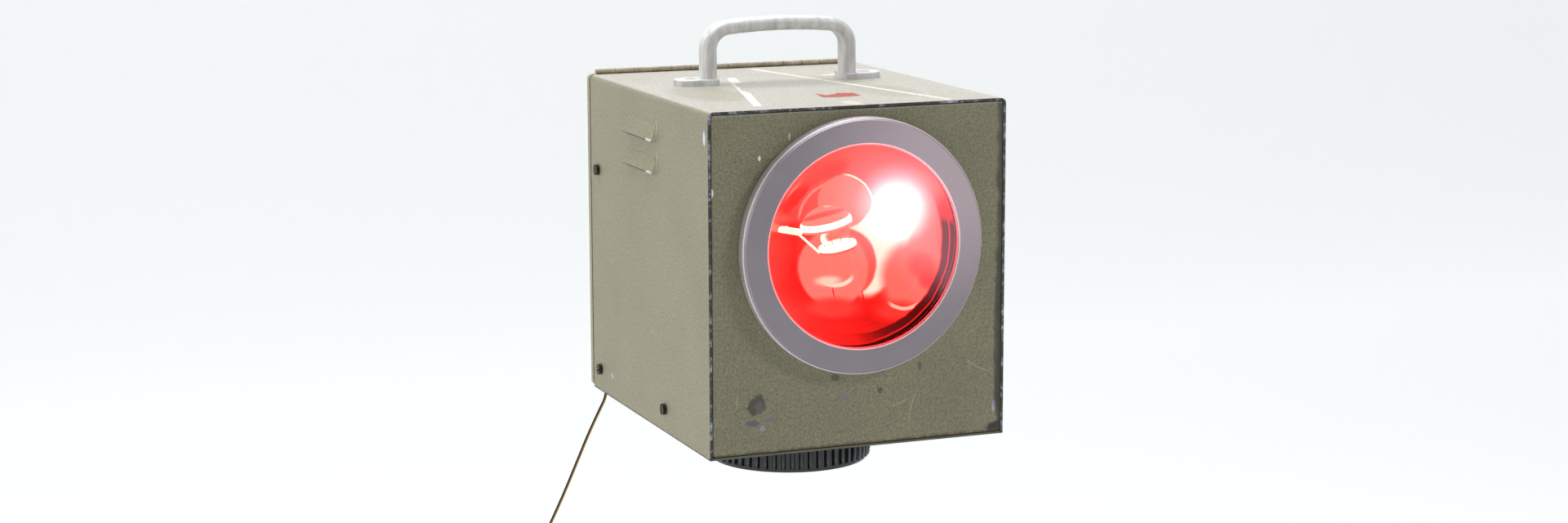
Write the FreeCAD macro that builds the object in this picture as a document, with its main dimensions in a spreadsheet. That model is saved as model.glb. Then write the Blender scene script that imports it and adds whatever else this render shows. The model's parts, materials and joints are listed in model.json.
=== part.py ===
"""Morse signal lamp: a sheet-metal lamp box on a ribbed turning base.

The frame has +X to the right of someone facing the red glass, +Y towards the back door and +Z up.
Its origin is the mouth of the screwed bush under the base, on the line that the lamp turns about.
All sizes are in millimetres, in one spreadsheet, and every piece is bound to them.
"""

import FreeCAD, Part
import math
import os
import re

import Sketcher
from FreeCAD import Placement, Rotation, Vector

# Sizes of the whole lamp, without its lead

OVERALL_WIDTH = 230
OVERALL_DEPTH = 280.3
OVERALL_HEIGHT = 323.1

# Driving sizes, by the piece that carries them

SIZES = {
    "Whole lamp": [
        ("overall_width", OVERALL_WIDTH, "over the louvres of both sides"),
        ("overall_depth", OVERALL_DEPTH, "face of the bezel to the latch's head"),
        ("overall_height", OVERALL_HEIGHT, "foot of the base to the top of the handle"),
    ],
    "Case": [
        ("case_sheet", 1.8, "steel sheet of the sleeve"),
        ("fold_radius", 4, "outside radius of the two top folds"),
        ("fit_gap", 0.1, "clearance between nested sheets and in screw holes"),
        ("overrun", 1, "how far a cut runs past the face it opens"),
    ],
    "Front panel": [
        ("panel_sheet", 2, "sheet of the front panel"),
        ("panel_flange", 14, "depth of the flange folded back all round it"),
        ("panel_step", 5, "where the flange steps out to the sleeve"),
        ("panel_gap", 0.6, "dark gap between the panel and the sleeve"),
        ("panel_inset", 0.4, "panel face behind the sleeve's front edge"),
        ("lamp_hole_radius", 73, "hole behind the glass"),
        ("lamp_drop", 97, "lamp axis below the top of the case"),
    ],
    "Tray and rear frame": [
        ("tray_sheet", 1.5, "sheet of the bottom tray"),
        ("tray_flange", 30, "height of its side flanges"),
        ("tray_clear", 1.5, "gap between the tray flange and its neighbours along the case"),
        ("frame_sheet", 1.5, "sheet of the rear frame"),
        ("frame_web", 26, "depth of the frame along the sleeve"),
        ("frame_lip", 14, "lip turned inwards, that the door seals on"),
        ("frame_setback", 0.7, "lip behind the sleeve's back edge"),
    ],
    "Louvres": [
        ("louvre_length", 64, "length of a louvre along its open foot"),
        ("louvre_height", 12, "its height"),
        ("louvre_proud", 4, "how far its foot is pressed out"),
        ("louvre_slant", 0.6, "how far each end leans in towards the top"),
        ("louvre_pitch", 23, "one louvre above the other"),
        ("louvre_count", 2, "louvres on each side"),
        ("louvre_drop", 55.5, "lowest opening below the top of the case"),
        ("louvre_back", 5.5, "middle of the louvres behind the middle of the case"),
    ],
    "Side screws": [
        ("side_screw_radius", 2, "shank"),
        ("side_screw_length", 7, "shank under the head"),
        ("side_head_radius", 4, "cheese head"),
        ("side_head_height", 2.8, "head"),
        ("side_slot_width", 1.2, "driver slot"),
        ("side_slot_depth", 1.3, "driver slot"),
        ("frame_screw_in", 26, "screws of the rear frame ahead of the door's back"),
        ("frame_screw_rise", 50, "upper frame screw above the middle of the case"),
        ("low_screw_rise", 17, "lower screws above the case bottom"),
        ("tray_screw_front", 40, "tray screw in front of the turning axis"),
    ],
    "Turning base": [
        ("base_height", 33, "ribbed base"),
        ("rib_radius", 60, "crest of the ribs"),
        ("rib_depth", 2.2, "ribs"),
        ("rib_width", 3.6, "foot of a rib"),
        ("rib_crest", 1.8, "crest of a rib"),
        ("rib_root", 1, "how deep a rib's foot sits in the wall"),
        ("rib_count", 56, "ribs round the base"),
        ("rib_margin", 2, "plain band above and below the ribs"),
        ("base_wall", 4, "wall behind the ribs"),
        ("base_top", 6, "top plate"),
        ("base_ledge", 4, "ledge in the band, under the plate"),
        ("base_web", 3, "gussets under the plate"),
        ("base_web_drop", 8, "how far they hang down"),
        ("base_web_root", 1.5, "how far they reach into the plate"),
        ("base_web_count", 6, "gussets under the plate"),
        ("thrust_thickness", 2, "slip washer between base and case"),
        ("thrust_radius", 48, "slip washer, outside"),
        ("thrust_inner", 24, "slip washer, inside"),
        ("thrust_rest", 0.1, "running gap under the case"),
        ("bush_radius", 15, "bush for the tripod's screw"),
        ("bush_flange_radius", 25, "its flange"),
        ("bush_flange", 4, "its flange"),
        ("bush_screw_count", 4, "screws that hold it"),
        ("bush_screw_pitch", 20.5, "their pitch radius"),
        ("bush_screw_radius", 1.5, "their shank"),
        ("bush_screw_head", 2.8, "their head radius"),
        ("bush_screw_head_height", 2, "their head"),
        ("bush_screw_grip", 4.5, "thread inside the plate"),
        ("bush_bore_radius", 3.97, "core hole of the three-eighths inch tripod thread"),
        ("spindle_radius", 5, "turning spindle"),
        ("spindle_head_radius", 9.4, "hexagon head, over corners"),
        ("spindle_head", 6.4, "hexagon head"),
        ("running_gap", 0.06, "radial clearance of a turning fit"),
        ("friction_radius", 15, "spring washer under the nut"),
        ("friction_thickness", 1.6, "spring washer under the nut"),
        ("pan_nut", 8, "height of the stiff nut"),
        ("spindle_end", 3, "thread showing above the nut"),
    ],
    "Bezel and glass": [
        ("bezel_radius", 89.5, "outside"),
        ("bezel_depth", 10, "stands out of the front panel"),
        ("bezel_lift", 0.3, "gap behind the bezel"),
        ("bezel_step", 0.4, "fine step under the chamfer, radially"),
        ("bezel_step_depth", 2.6, "that step behind the face"),
        ("bezel_chamfer", 1.6, "chamfer above the step, radially"),
        ("bezel_chamfer_depth", 2.1, "that chamfer, along the axis"),
        ("bezel_wall", 2.5, "outer wall and face"),
        ("bezel_opening", 70.4, "clear opening"),
        ("opening_chamfer", 1.3, "chamfer round the opening"),
        ("bezel_ledge", 2.2, "thickness of the lip in front of the glass"),
        ("carrier_wall", 2.5, "wall round the glass"),
        ("carrier_lift", 0.7, "gap behind that wall"),
        ("glass_radius", 74.2, "red filter glass"),
        ("glass_play", 0.4, "radial play of the glass"),
        ("glass_thickness", 4, "red filter glass"),
        ("gasket_thickness", 0.8, "each gasket"),
        ("gasket_inner", 71.2, "inside radius of the gaskets"),
        ("retainer_thickness", 1, "spring ring behind the glass"),
        ("retainer_grip", 0.8, "how deep it sits in its groove"),
        ("retainer_width", 3.6, "its width"),
    ],
    "Bayonet ring": [
        ("ring_inner", 79, "fixed ring, inside"),
        ("ring_outer", 83, "fixed ring, outside"),
        ("ring_height", 6, "stands out of the panel"),
        ("lug_count", 3, "bayonet lugs"),
        ("lug_span", 30, "angle of a lug in degrees"),
        ("lug_thickness", 2, "fixed lug"),
        ("lug_gap", 0.1, "between the two sets of lugs"),
    ],
    "Reflector": [
        ("focal_length", 20, "paraboloid"),
        ("mouth_radius", 71, "mouth"),
        ("reflector_sheet", 1, "spun metal"),
        ("vertex_vent_radius", 4, "vent at the vertex"),
        ("reflector_flange_radius", 85, "flange behind the panel"),
        ("ring_screw_count", 6, "screws that hold ring and reflector"),
        ("ring_screw_pitch", 81, "their pitch radius"),
        ("ring_screw_radius", 1.5, "their shank"),
        ("ring_screw_head", 2.8, "their head radius"),
        ("ring_screw_head_height", 2, "their head"),
        ("ring_screw_grip", 4, "thread inside the ring"),
    ],
    "Bulb": [
        ("bulb_lean", 13, "lean of the bulb to the left in degrees"),
        ("bulb_ahead", 4, "bulb in front of the focus, which widens the beam"),
        ("collar_right", 0.9, "middle of the collar to the right of the lamp axis"),
        ("collar_drop", 7.8, "middle of the collar below the lamp axis"),
        ("collar_radius", 13.5, "collar"),
        ("collar_height", 4, "collar"),
        ("cap_radius", 7.5, "bayonet cap"),
        ("cap_length", 17, "bayonet cap below the collar"),
        ("globe_radius", 11, "glass globe"),
        ("globe_rise", 5.5, "its centre above the middle of the collar"),
        ("globe_neck", 6.5, "its neck"),
        ("globe_wall", 0.7, "its glass"),
        ("filament_radius", 0.45, "filament and its posts"),
        ("filament_span", 7, "between the posts"),
        ("socket_radius", 9.5, "bulb socket"),
        ("socket_wall", 1.7, "bulb socket"),
        ("socket_length", 58, "bulb socket"),
        ("socket_floor", 4, "insulating floor of the socket"),
    ],
    "Bulb shield": [
        ("shield_left", 7.9, "middle of the rim to the left of the lamp axis"),
        ("shield_up", 8.9, "middle of the rim above the lamp axis"),
        ("shield_radius", 18.5, "rim"),
        ("shield_rim", 4, "height of the rim"),
        ("shield_dome", 10.7, "height of the dome above the rim"),
        ("shield_sheet", 0.8, "spun metal"),
        ("arm_slope", 12, "rise of the strut towards the reflector in degrees"),
        ("arm_width", 4.7, "strut"),
        ("arm_thickness", 1.6, "strut"),
        ("arm_ball", 2, "ball at the strut's end, against the rim"),
        ("link_gap", 0.2, "between the link and the collar"),
        ("arm_stud_radius", 2, "stud through the reflector"),
        ("arm_stud_length", 13, "stud past the reflector"),
        ("arm_nut_radius", 4, "its nut, over corners"),
        ("arm_nut_height", 3.2, "its nut"),
        ("link_radius", 0.8, "wire from the strut down to the collar"),
    ],
    "Socket bracket": [
        ("bracket_width", 30, "upright"),
        ("bracket_sheet", 2, "upright and foot"),
        ("bracket_foot", 34, "foot along the case"),
        ("clamp_wall", 2.2, "band round the socket"),
        ("clamp_height", 9, "band round the socket"),
        ("clamp_drop", 53, "middle of the band below the collar, along the bulb"),
        ("bracket_screw_radius", 2, "foot screws"),
        ("bracket_screw_head", 3.8, "foot screws"),
        ("bracket_screw_head_height", 2.4, "foot screws"),
        ("bracket_screw_spread", 9, "foot screws each side of the middle"),
    ],
    "Terminal block": [
        ("terminal_length", 34, "across the case"),
        ("terminal_width", 17, "along the case"),
        ("terminal_height", 14, "height"),
        ("terminal_left", 58, "its middle left of the turning axis"),
        ("terminal_in", 71, "its middle ahead of the door's back"),
        ("terminal_pitch", 14, "between its two ways"),
        ("terminal_screw_radius", 2.6, "screw head"),
        ("terminal_screw_height", 2, "screw head"),
        ("terminal_slot", 0.6, "driver slot"),
        ("terminal_bore_radius", 1.3, "wire hole"),
        ("wire_entry", 4, "how far a wire goes into its hole"),
    ],
    "Wires and lead": [
        ("wire_radius", 1.1, "inner wires"),
        ("wire_end_gap", 0.1, "between the wires and the foot of the socket"),
        ("wire_spread", 2.6, "each wire from the middle of the pair, on the way"),
        ("wire_first_run", 30, "straight out of the terminal block"),
        ("wire_second_run", 60, "block to the first bend's end"),
        ("wire_first_shift", 10, "moved inwards by the first bend"),
        ("wire_first_rise", 4, "first bend above the block's holes"),
        ("wire_second_left", 41, "second bend left of the socket's foot"),
        ("wire_second_back", 43, "second bend behind the bulb"),
        ("wire_third_left", 27, "third bend left of the socket's foot"),
        ("wire_third_back", 9, "third bend behind the bulb"),
        ("wire_last_left", 10, "last bend left of the socket's foot"),
        ("wire_last_ahead", 5, "last bend ahead of the bulb"),
        ("wire_last_run", 15, "straight into the socket's foot"),
        ("tail_first_run", 13, "lead straight up from the grommet"),
        ("tail_first_shift", 7, "moved inwards and ahead by the first bend"),
        ("tail_top", 24, "top of the first bend above the grommet"),
        ("tail_second_right", 20, "second bend, inwards"),
        ("tail_second_ahead", 18, "second bend, ahead"),
        ("tail_second_rise", 22, "second bend above the grommet"),
        ("tail_third_left", 3, "third bend left of the block's hole"),
        ("tail_third_back", 28, "third bend behind the block"),
        ("tail_third_rise", 7, "third bend above the block's hole"),
        ("tail_last_run", 14, "straight into the block"),
        ("lead_diameter", 2.4, "width of the twin lead"),
        ("grommet_aside", 7.4, "its middle from the left side of the case"),
        ("grommet_in", 16, "its middle ahead of the door's back"),
        ("grommet_hole", 2.7, "hole radius in tray and frame"),
        ("grommet_flange", 3.9, "flange radius"),
        ("grommet_lip", 1.2, "flange thickness"),
        ("plug_width", 15, "far-end plug"),
        ("plug_thickness", 9, "far-end plug"),
        ("plug_length", 24, "far-end plug"),
        ("plug_round", 2.2, "rounding of its long edges"),
        ("plug_neck_radius", 2.6, "its neck, at the plug"),
        ("plug_neck_slim", 1.8, "its neck, at the lead"),
        ("plug_neck_length", 9, "its neck"),
        ("pin_radius_plug", 1.6, "its two pins"),
        ("pin_length_plug", 13, "its two pins"),
        ("pin_spread", 4.4, "each pin from the middle"),
    ],
    "Hinge": [
        ("knuckle_radius", 1.9, "barrel"),
        ("hinge_pin_radius", 0.9, "pin"),
        ("hinge_inset", 4.6, "end of the hinge from the side of the case"),
        ("knuckle_gap", 0.4, "between knuckles"),
        ("knuckle_pairs", 7, "knuckles on each leaf"),
        ("leaf_sheet", 0.7, "leaf"),
        ("leaf_reach", 11, "case leaf under the top sheet"),
        ("door_leaf_reach", 4, "door leaf under the door's top flange"),
        ("leaf_gap", 0.1, "between a leaf and the sheet beside it"),
        ("barrel_lift", 0.1, "barrel above the top sheet"),
    ],
    "Door": [
        ("door_depth", 6.8, "depth of the pan-shaped door"),
        ("door_sheet", 1.2, "sheet of the door"),
        ("door_bend", 1.6, "radius round its back edge"),
        ("hinge_slot", 1.9, "slot between sleeve and door"),
        ("door_bead_inset", 24, "pressed panel in from the door's edge"),
        ("door_bead_depth", 1.2, "depth of the pressing"),
        ("door_bead_corner", 12, "its corner radius"),
        ("seal_width", 8, "sponge seal"),
        ("seal_inset", 3, "seal in from the door's flange"),
        ("seal_gap", 0.3, "seal to the frame's lip"),
    ],
    "Latch": [
        ("latch_rise", 23, "its axis above the case bottom"),
        ("latch_head_radius", 9, "slotted head"),
        ("latch_head_height", 4.5, "slotted head"),
        ("latch_chamfer", 0.9, "chamfer round the head"),
        ("latch_slot_width", 2, "coin slot"),
        ("latch_slot_depth", 2, "coin slot"),
        ("latch_shank_radius", 4, "shank"),
        ("latch_rest", 0.2, "head clear of the door"),
        ("cam_length", 17, "cam from the axis to its tip"),
        ("cam_width", 11, "cam"),
        ("cam_thickness", 2, "cam"),
        ("cam_gap", 1.8, "cam in front of the frame's lip"),
        ("latch_nut_radius", 6.5, "nut that holds the cam, over corners"),
        ("latch_nut_height", 3, "nut that holds the cam"),
    ],
    "Handle": [
        ("handle_aside", 3.2, "its middle to the right of the middle of the case"),
        ("handle_leg", 54.9, "middle of a leg from the middle of the handle"),
        ("handle_rise", 48, "top of the bar above the case"),
        ("handle_back", 28, "behind the middle of the case"),
        ("handle_thick", 10, "section, seen from the front"),
        ("handle_deep", 18, "section, front to back"),
        ("handle_edge", 4.4, "rounding of the section"),
        ("handle_bend", 16, "bend at the middle of the section"),
        ("handle_crown", 420, "radius of the slightly arched bar"),
        ("foot_reach", 81, "tip of a foot from the middle of the handle"),
        ("foot_width", 22, "foot"),
        ("foot_thickness", 4.6, "foot"),
        ("foot_round", 1.15, "rounding of its upper rim"),
        ("foot_screw", 68, "foot screw from the middle of the handle"),
        ("handle_screw_radius", 2.5, "shank"),
        ("handle_screw_head", 4.6, "countersunk head"),
        ("handle_screw_cone", 2.6, "countersunk head"),
        ("handle_nut_radius", 4.6, "nut, over corners"),
        ("handle_nut_height", 4, "nut"),
        ("handle_washer_radius", 7, "washer inside the case"),
        ("handle_washer", 1, "washer inside the case"),
        ("handle_screw_past", 2, "screw past its nut"),
    ],
}

# Sizes that follow from others: the folded sleeve's from the whole lamp's, and places from the sleeve's

FOLLOWS = {
    "case_width": "(overall_width - 2*louvre_proud)",
    "case_depth": "(overall_depth - bezel_depth + panel_inset - latch_rest - latch_head_height)",
    "case_height": "(overall_height - handle_rise - base_height - thrust_thickness - thrust_rest)",
    "lamp_rise": "(case_height/2 - lamp_drop)",
    "louvre_rise": "(case_height/2 - louvre_drop)",
    "frame_screw_back": "(case_depth/2 - frame_screw_in)",
    "terminal_back": "(case_depth/2 - terminal_in)",
    "grommet_back": "(case_depth/2 - grommet_in)",
    "grommet_left": "(case_width/2 - grommet_aside)",
    "knuckle_pitch": "((case_width/2 - hinge_inset)/knuckle_pairs)",
}

# Where a wire meets the socket's foot, as a share of the socket's radius
WIRE_END_SHARE = 0.4

# Heights of the wires' later bends above the block's holes, as shares of the socket's foot above them
WIRE_RISE_SHARES = (0.16, 0.31, 0.485)

# The lead's run from the middle of its grommet at the case's bottom, chosen by hand: down and off to the left
LEAD_RUN = [
    (0.0, 0.0, 1.9),
    (0.0, 0.0, -6.1),
    (-6.4, 0.0, -18.1),
    (-14.7, 0.0, -34.3),
    (-24.8, 0.0, -56.6),
    (-37.6, 0.0, -85.1),
    (-51.2, 0.0, -111.6),
]

DOC = FreeCAD.newDocument("signal_lamp")
SHEET = DOC.addObject("Spreadsheet::Sheet", "Sizes")
ALIASES = {alias for rows in SIZES.values() for alias, _, _ in rows}
NODES = []

UP = Rotation()
DOWN = Rotation(Vector(1, 0, 0), 180)
FORWARD = Rotation(Vector(1, 0, 0), 90)
BACKWARD = Rotation(Vector(1, 0, 0), -90)
RIGHTWARD = Rotation(Vector(0, 1, 0), 90)
LEFTWARD = Rotation(Vector(0, 1, 0), -90)

# Places that several pieces share, written in the sheet's words

CASE_BOTTOM = "(base_height + thrust_thickness + thrust_rest)"
CASE_TOP = f"({CASE_BOTTOM} + case_height)"
CASE_MIDDLE = f"({CASE_BOTTOM} + case_height/2)"
CASE_FRONT = "(-case_depth/2)"
CASE_BACK = "(case_depth/2)"
INSIDE = "(case_width/2 - case_sheet)"
CEILING = f"({CASE_TOP} - case_sheet)"
TRAY_TOP = f"({CASE_BOTTOM} + tray_sheet)"
PANEL_FACE = f"({CASE_FRONT} + panel_inset)"
LAMP_UP = f"({CASE_MIDDLE} + lamp_rise)"
DOOR_FRONT = f"({CASE_BACK} - door_depth)"
SLEEVE_BACK = f"({DOOR_FRONT} - hinge_slot)"
HINGE_Y = f"({DOOR_FRONT} - hinge_slot/2)"
HINGE_Z = f"({CASE_TOP} + knuckle_radius + barrel_lift)"
LIP_BACK = f"({SLEEVE_BACK} - frame_setback)"
LIP_FRONT = f"({LIP_BACK} - frame_sheet)"
FRAME_FRONT = f"({LIP_BACK} - frame_web)"
FRAME_SIDE = f"({INSIDE} - fit_gap)"
LATCH_UP = f"({CASE_BOTTOM} + latch_rise)"
BULB_Y = f"({PANEL_FACE} + panel_sheet + mouth_radius^2/(4*focal_length) - focal_length - bulb_ahead)"
HANDLE_BASE = f"({CASE_TOP})"


# Tools


def fill_sheet():
    """Writes every size with its alias and its note, a group to a block of rows."""
    row = 1
    for group, rows in SIZES.items():
        SHEET.set(f"A{row}", group)
        for alias, number, note in rows:
            row += 1
            SHEET.set(f"A{row}", note)
            SHEET.set(f"B{row}", str(number))
            SHEET.setAlias(f"B{row}", alias)
        row += 2
    DOC.recompute()


def bound(text):
    """The expression with every size read from the sheet."""

    def read(found):
        name = found.group()
        if name in FOLLOWS:
            return bound(FOLLOWS[name])
        return f"Sizes.{name}" if name in ALIASES else name

    return re.sub(r"[a-z][a-z_0-9]*", read, str(text))


def value(text):
    """The number that an expression in the sheet's words comes to."""
    return float(SHEET.evalExpression(bound(text)))


def bind(obj, prop, text):
    """Ties one property to an expression."""
    obj.setExpression(prop, bound(text))


def place(obj, x="0", y="0", z="0", turn=UP):
    """Puts an object at a bound point, turned."""
    obj.Placement = Placement(Vector(value(x), value(y), value(z)), turn)
    for axis, text in (("x", x), ("y", y), ("z", z)):
        bind(obj, f"Placement.Base.{axis}", text)
    return obj


def add(kind, name, **bindings):
    """A new object with bound sizes."""
    obj = DOC.addObject(kind, name)
    for prop, text in bindings.items():
        bind(obj, prop, text)
    return obj


def block(name, low, high):
    """A box between two bound corners."""
    spans = [f"({b}) - ({a})" for a, b in zip(low, high)]
    obj = add("Part::Box", name, Length=spans[0], Width=spans[1], Height=spans[2])
    return place(obj, *low)


def rod(name, radius, length, x="0", y="0", z="0", turn=UP):
    """A cylinder that starts at a bound point."""
    return place(add("Part::Cylinder", name, Radius=radius, Height=length), x, y, z, turn)


def taper(name, radius, end_radius, length, x="0", y="0", z="0", turn=UP):
    """A cone that starts at a bound point."""
    return place(add("Part::Cone", name, Radius1=radius, Radius2=end_radius, Height=length), x, y, z, turn)


def hexagon(name, radius, length, x="0", y="0", z="0", turn=UP):
    """A hexagonal prism, its radius over corners."""
    obj = add("Part::Prism", name, Circumradius=radius, Height=length)
    obj.Polygon = 6
    return place(obj, x, y, z, turn)


def ball(name, radius, x="0", y="0", z="0"):
    """A sphere at a bound point."""
    return place(add("Part::Sphere", name, Radius=radius), x, y, z)


def fuse(name, pieces):
    """One solid of several."""
    obj = DOC.addObject("Part::MultiFuse", name)
    obj.Shapes = pieces
    return obj


def cut(name, base, tools):
    """The base less one tool or several."""
    obj = DOC.addObject("Part::Cut", name)
    obj.Base = base
    obj.Tool = tools[0] if len(tools) == 1 else fuse(f"{name}_tools", tools)
    return obj


def group(name, solids):
    """Separate solids that share a node."""
    obj = DOC.addObject("Part::Compound", name)
    obj.Links = solids
    return obj


def node(label, obj):
    """Names a finished piece and keeps it for the export."""
    obj.Label = label
    NODES.append(obj)
    return obj


def drawn(name, make_shape):
    """A piece whose shape the primitives and sketches can't give, from a function that reads the sheet."""
    obj = DOC.addObject("Part::Feature", name)
    obj.Shape = make_shape()
    return obj


def new_body(name):
    """An empty body."""
    return DOC.addObject("PartDesign::Body", name)


def sketch_on(body, role, name, offset="0"):
    """A sketch on one of the body's own planes, moved along its normal."""
    sketch = body.newObject("Sketcher::SketchObject", name)
    plane = next(f for f in body.Origin.OriginFeatures if f.Role == role)
    sketch.AttachmentSupport = [(plane, "")]
    sketch.MapMode = "FlatFace"
    bind(sketch, ".AttachmentOffset.Base.z", offset)
    return sketch


def fix_point(sketch, edge, end, x, y):
    """Ties one end of an edge, or a circle's centre, to bound coordinates."""
    for kind, text in (("DistanceX", x), ("DistanceY", y)):
        index = sketch.addConstraint(Sketcher.Constraint(kind, -1, 1, edge, end, value(text)))
        bind(sketch, f"Constraints[{index}]", text)


def outline(sketch, points):
    """A closed outline of straight lines through bound points."""
    here = [Vector(value(x), value(y), 0) for x, y in points]
    first = sketch.GeometryCount
    count = len(points)
    for i in range(count):
        sketch.addGeometry(Part.LineSegment(here[i], here[(i + 1) % count]), False)
    for i in range(count):
        sketch.addConstraint(Sketcher.Constraint("Coincident", first + i, 2, first + (i + 1) % count, 1))
    for i, (x, y) in enumerate(points):
        fix_point(sketch, first + i, 1, x, y)


def rectangle(sketch, left, low, right, high):
    """A bound rectangle."""
    outline(sketch, [(left, low), (right, low), (right, high), (left, high)])


def circle(sketch, radius, x="0", y="0"):
    """A bound circle."""
    circle = Part.Circle(Vector(value(x), value(y), 0), Vector(0, 0, 1), value(radius))
    edge = sketch.addGeometry(circle, False)
    fix_point(sketch, edge, 3, x, y)
    index = sketch.addConstraint(Sketcher.Constraint("Radius", edge, value(radius)))
    bind(sketch, f"Constraints[{index}]", radius)


def pad(body, sketch, length, back=False):
    """A pad along the sketch's normal, or against it."""
    obj = body.newObject("PartDesign::Pad", f"{sketch.Name}_pad")
    obj.Profile = (sketch, [""])
    obj.Reversed = back
    bind(obj, "Length", length)
    return obj


def pocket(body, sketch, length, back=False):
    """A pocket against the sketch's normal, or along it."""
    obj = body.newObject("PartDesign::Pocket", f"{sketch.Name}_pocket")
    obj.Profile = (sketch, [""])
    obj.Reversed = back
    bind(obj, "Length", length)
    return obj


def turned(name, points):
    """A body of revolution about Z, from an outline of (radius, height) points."""
    body = new_body(name)
    sketch = sketch_on(body, "XZ_Plane", f"{name}_outline")
    outline(sketch, points)
    turn = body.newObject("PartDesign::Revolution", f"{name}_turn")
    turn.Profile = (sketch, [""])
    turn.ReferenceAxis = (sketch, ["V_Axis"])
    turn.Angle = 360
    return body


def washer_points(inner, outer, low, high):
    """The outline of a plain ring."""
    return [(inner, low), (outer, low), (outer, high), (inner, high)]


def round_edges(body, feature, radius, chosen):
    """Rounds the edges of a feature that a test picks."""
    DOC.recompute()
    names = [f"Edge{i + 1}" for i, edge in enumerate(feature.Shape.Edges) if chosen(edge)]
    obj = body.newObject("PartDesign::Fillet", f"{feature.Name}_round")
    obj.Base = (feature, names)
    bind(obj, "Radius", radius)
    return obj


def runs_along(axis, edge):
    """Whether an edge is straight along X, Y or Z."""
    if not isinstance(edge.Curve, Part.Line):
        return False
    return abs(getattr(edge.Curve.Direction, axis)) > 1 - 1e-6


def near(number, text):
    """Whether a coordinate is at a bound place."""
    return abs(number - value(text)) < 1e-4


def rounded_path(points):
    """Straight runs joined by tangent arcs, each arc as large as its two runs allow, and its radii."""
    points = [Vector(*p) for p in points]
    edges, radii, start = [], [], points[0]
    for before, corner, after in zip(points, points[1:], points[2:]):
        way_in = (corner - before).normalize()
        way_out = (after - corner).normalize()
        reach = 0.45 * min((corner - before).Length, (after - corner).Length)
        half_turn = way_in.getAngle(way_out) / 2
        radii.append(reach / math.tan(half_turn))
        first, last = corner - way_in * reach, corner + way_out * reach
        inward = (way_out - way_in).normalize()
        middle = corner + inward * (radii[-1] / math.cos(half_turn) - radii[-1])
        edges.append(Part.LineSegment(start, first).toShape())
        edges.append(Part.Arc(first, middle, last).toShape())
        start = last
    edges.append(Part.LineSegment(start, points[-1]).toShape())
    return Part.Wire(edges), radii


def tube(points, radius, name):
    """A round tube along a rounded path. Prints its radii and compares its volume with its length."""
    path, radii = rounded_path(points)
    way = (Vector(*points[1]) - Vector(*points[0])).normalize()
    section = Part.Wire(Part.makeCircle(radius, Vector(*points[0]), way))
    solid = path.makePipeShell([section], True, True)
    ratio = solid.Volume / (math.pi * radius**2 * path.Length)
    bends = [round(r, 1) for r in radii]
    print(f"{name}: length {path.Length:.1f} mm, radii {bends}, volume ratio {ratio:.4f}")
    return solid


def tilted(right, up, lean):
    """The placement of a piece on the bulb's side of the lamp axis, its Z leaning left by an angle."""
    return Placement(
        Vector(value(right), value(BULB_Y), value(f"{LAMP_UP} + {up}")),
        Rotation(Vector(0, -1, 0), value(lean)),
    )


def lean_piece(obj, right, up):
    """Binds a piece to a point beside the lamp axis, leaning with the bulb."""
    obj.Placement = tilted(right, up, "bulb_lean")
    bind(obj, "Placement.Base.x", right)
    bind(obj, "Placement.Base.y", BULB_Y)
    bind(obj, "Placement.Base.z", f"{LAMP_UP} + {up}")
    bind(obj, "Placement.Rotation.Angle", "bulb_lean")
    return obj


def on_lamp(obj, ahead="0"):
    """Stands a piece on the lamp axis, its Z pointing out of the front, ahead of the panel's face."""
    return place(obj, "0", f"{PANEL_FACE} - ({ahead})", LAMP_UP, FORWARD)


def ring_of(name, count, make_one):
    """Copies round the lamp axis, made by a function of the copy's number and its angle in degrees."""
    number = round(value(count))
    return [make_one(i, f"({i}*360/{count})") for i in range(number)]


# Case shell


def louvre_form(name, side, level, less):
    """One louvre as a wedge, flush at its top, proud at its open foot; or its hollow, one sheet smaller."""
    long = "(louvre_length/2 - case_sheet)" if less else "(louvre_length/2)"
    root = "(-case_sheet - overrun)" if less else "(-case_sheet/2)"
    flush = "(-case_sheet)" if less else "0"
    wedge = add(
        "Part::Wedge", name, Ymin="0", Ymax="louvre_height", Xmin=f"-{long}", Xmax=long,
        X2min=f"louvre_slant - {long}", X2max=f"{long} - louvre_slant",
        Zmin=root, Z2min=root, Zmax=f"louvre_proud + {flush}", Z2max=flush,
    )
    stand = Rotation(Vector(1, 1, 1), 120)
    turn = stand if side > 0 else Rotation(Vector(0, 0, 1), 180).multiply(stand)
    level_up = f"{CASE_MIDDLE} + louvre_rise + {level}*louvre_pitch"
    return place(wedge, f"{side}*case_width/2", "louvre_back", level_up, turn)


def side_screw_places():
    """Side, distance back and height of each side screw."""
    low = f"({CASE_BOTTOM} + low_screw_rise)"
    return [
        ("frame_screw_back", f"({CASE_MIDDLE} + frame_screw_rise)"),
        ("frame_screw_back", low),
        ("(-tray_screw_front)", low),
    ]


def side_holes(name, start):
    """Clearance holes for the screws of both sides, through everything from a bound distance outwards."""
    holes = []
    for side, turn in ((1, RIGHTWARD), (-1, LEFTWARD)):
        for i, (y, z) in enumerate(side_screw_places()):
            hole = f"{name}_hole_{i}_{'right' if side > 0 else 'left'}"
            length = f"case_width/2 + overrun - {start}"
            holes.append(rod(hole, "side_screw_radius + fit_gap", length, f"{side}*({start})", y, z, turn))
    return holes


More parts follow.
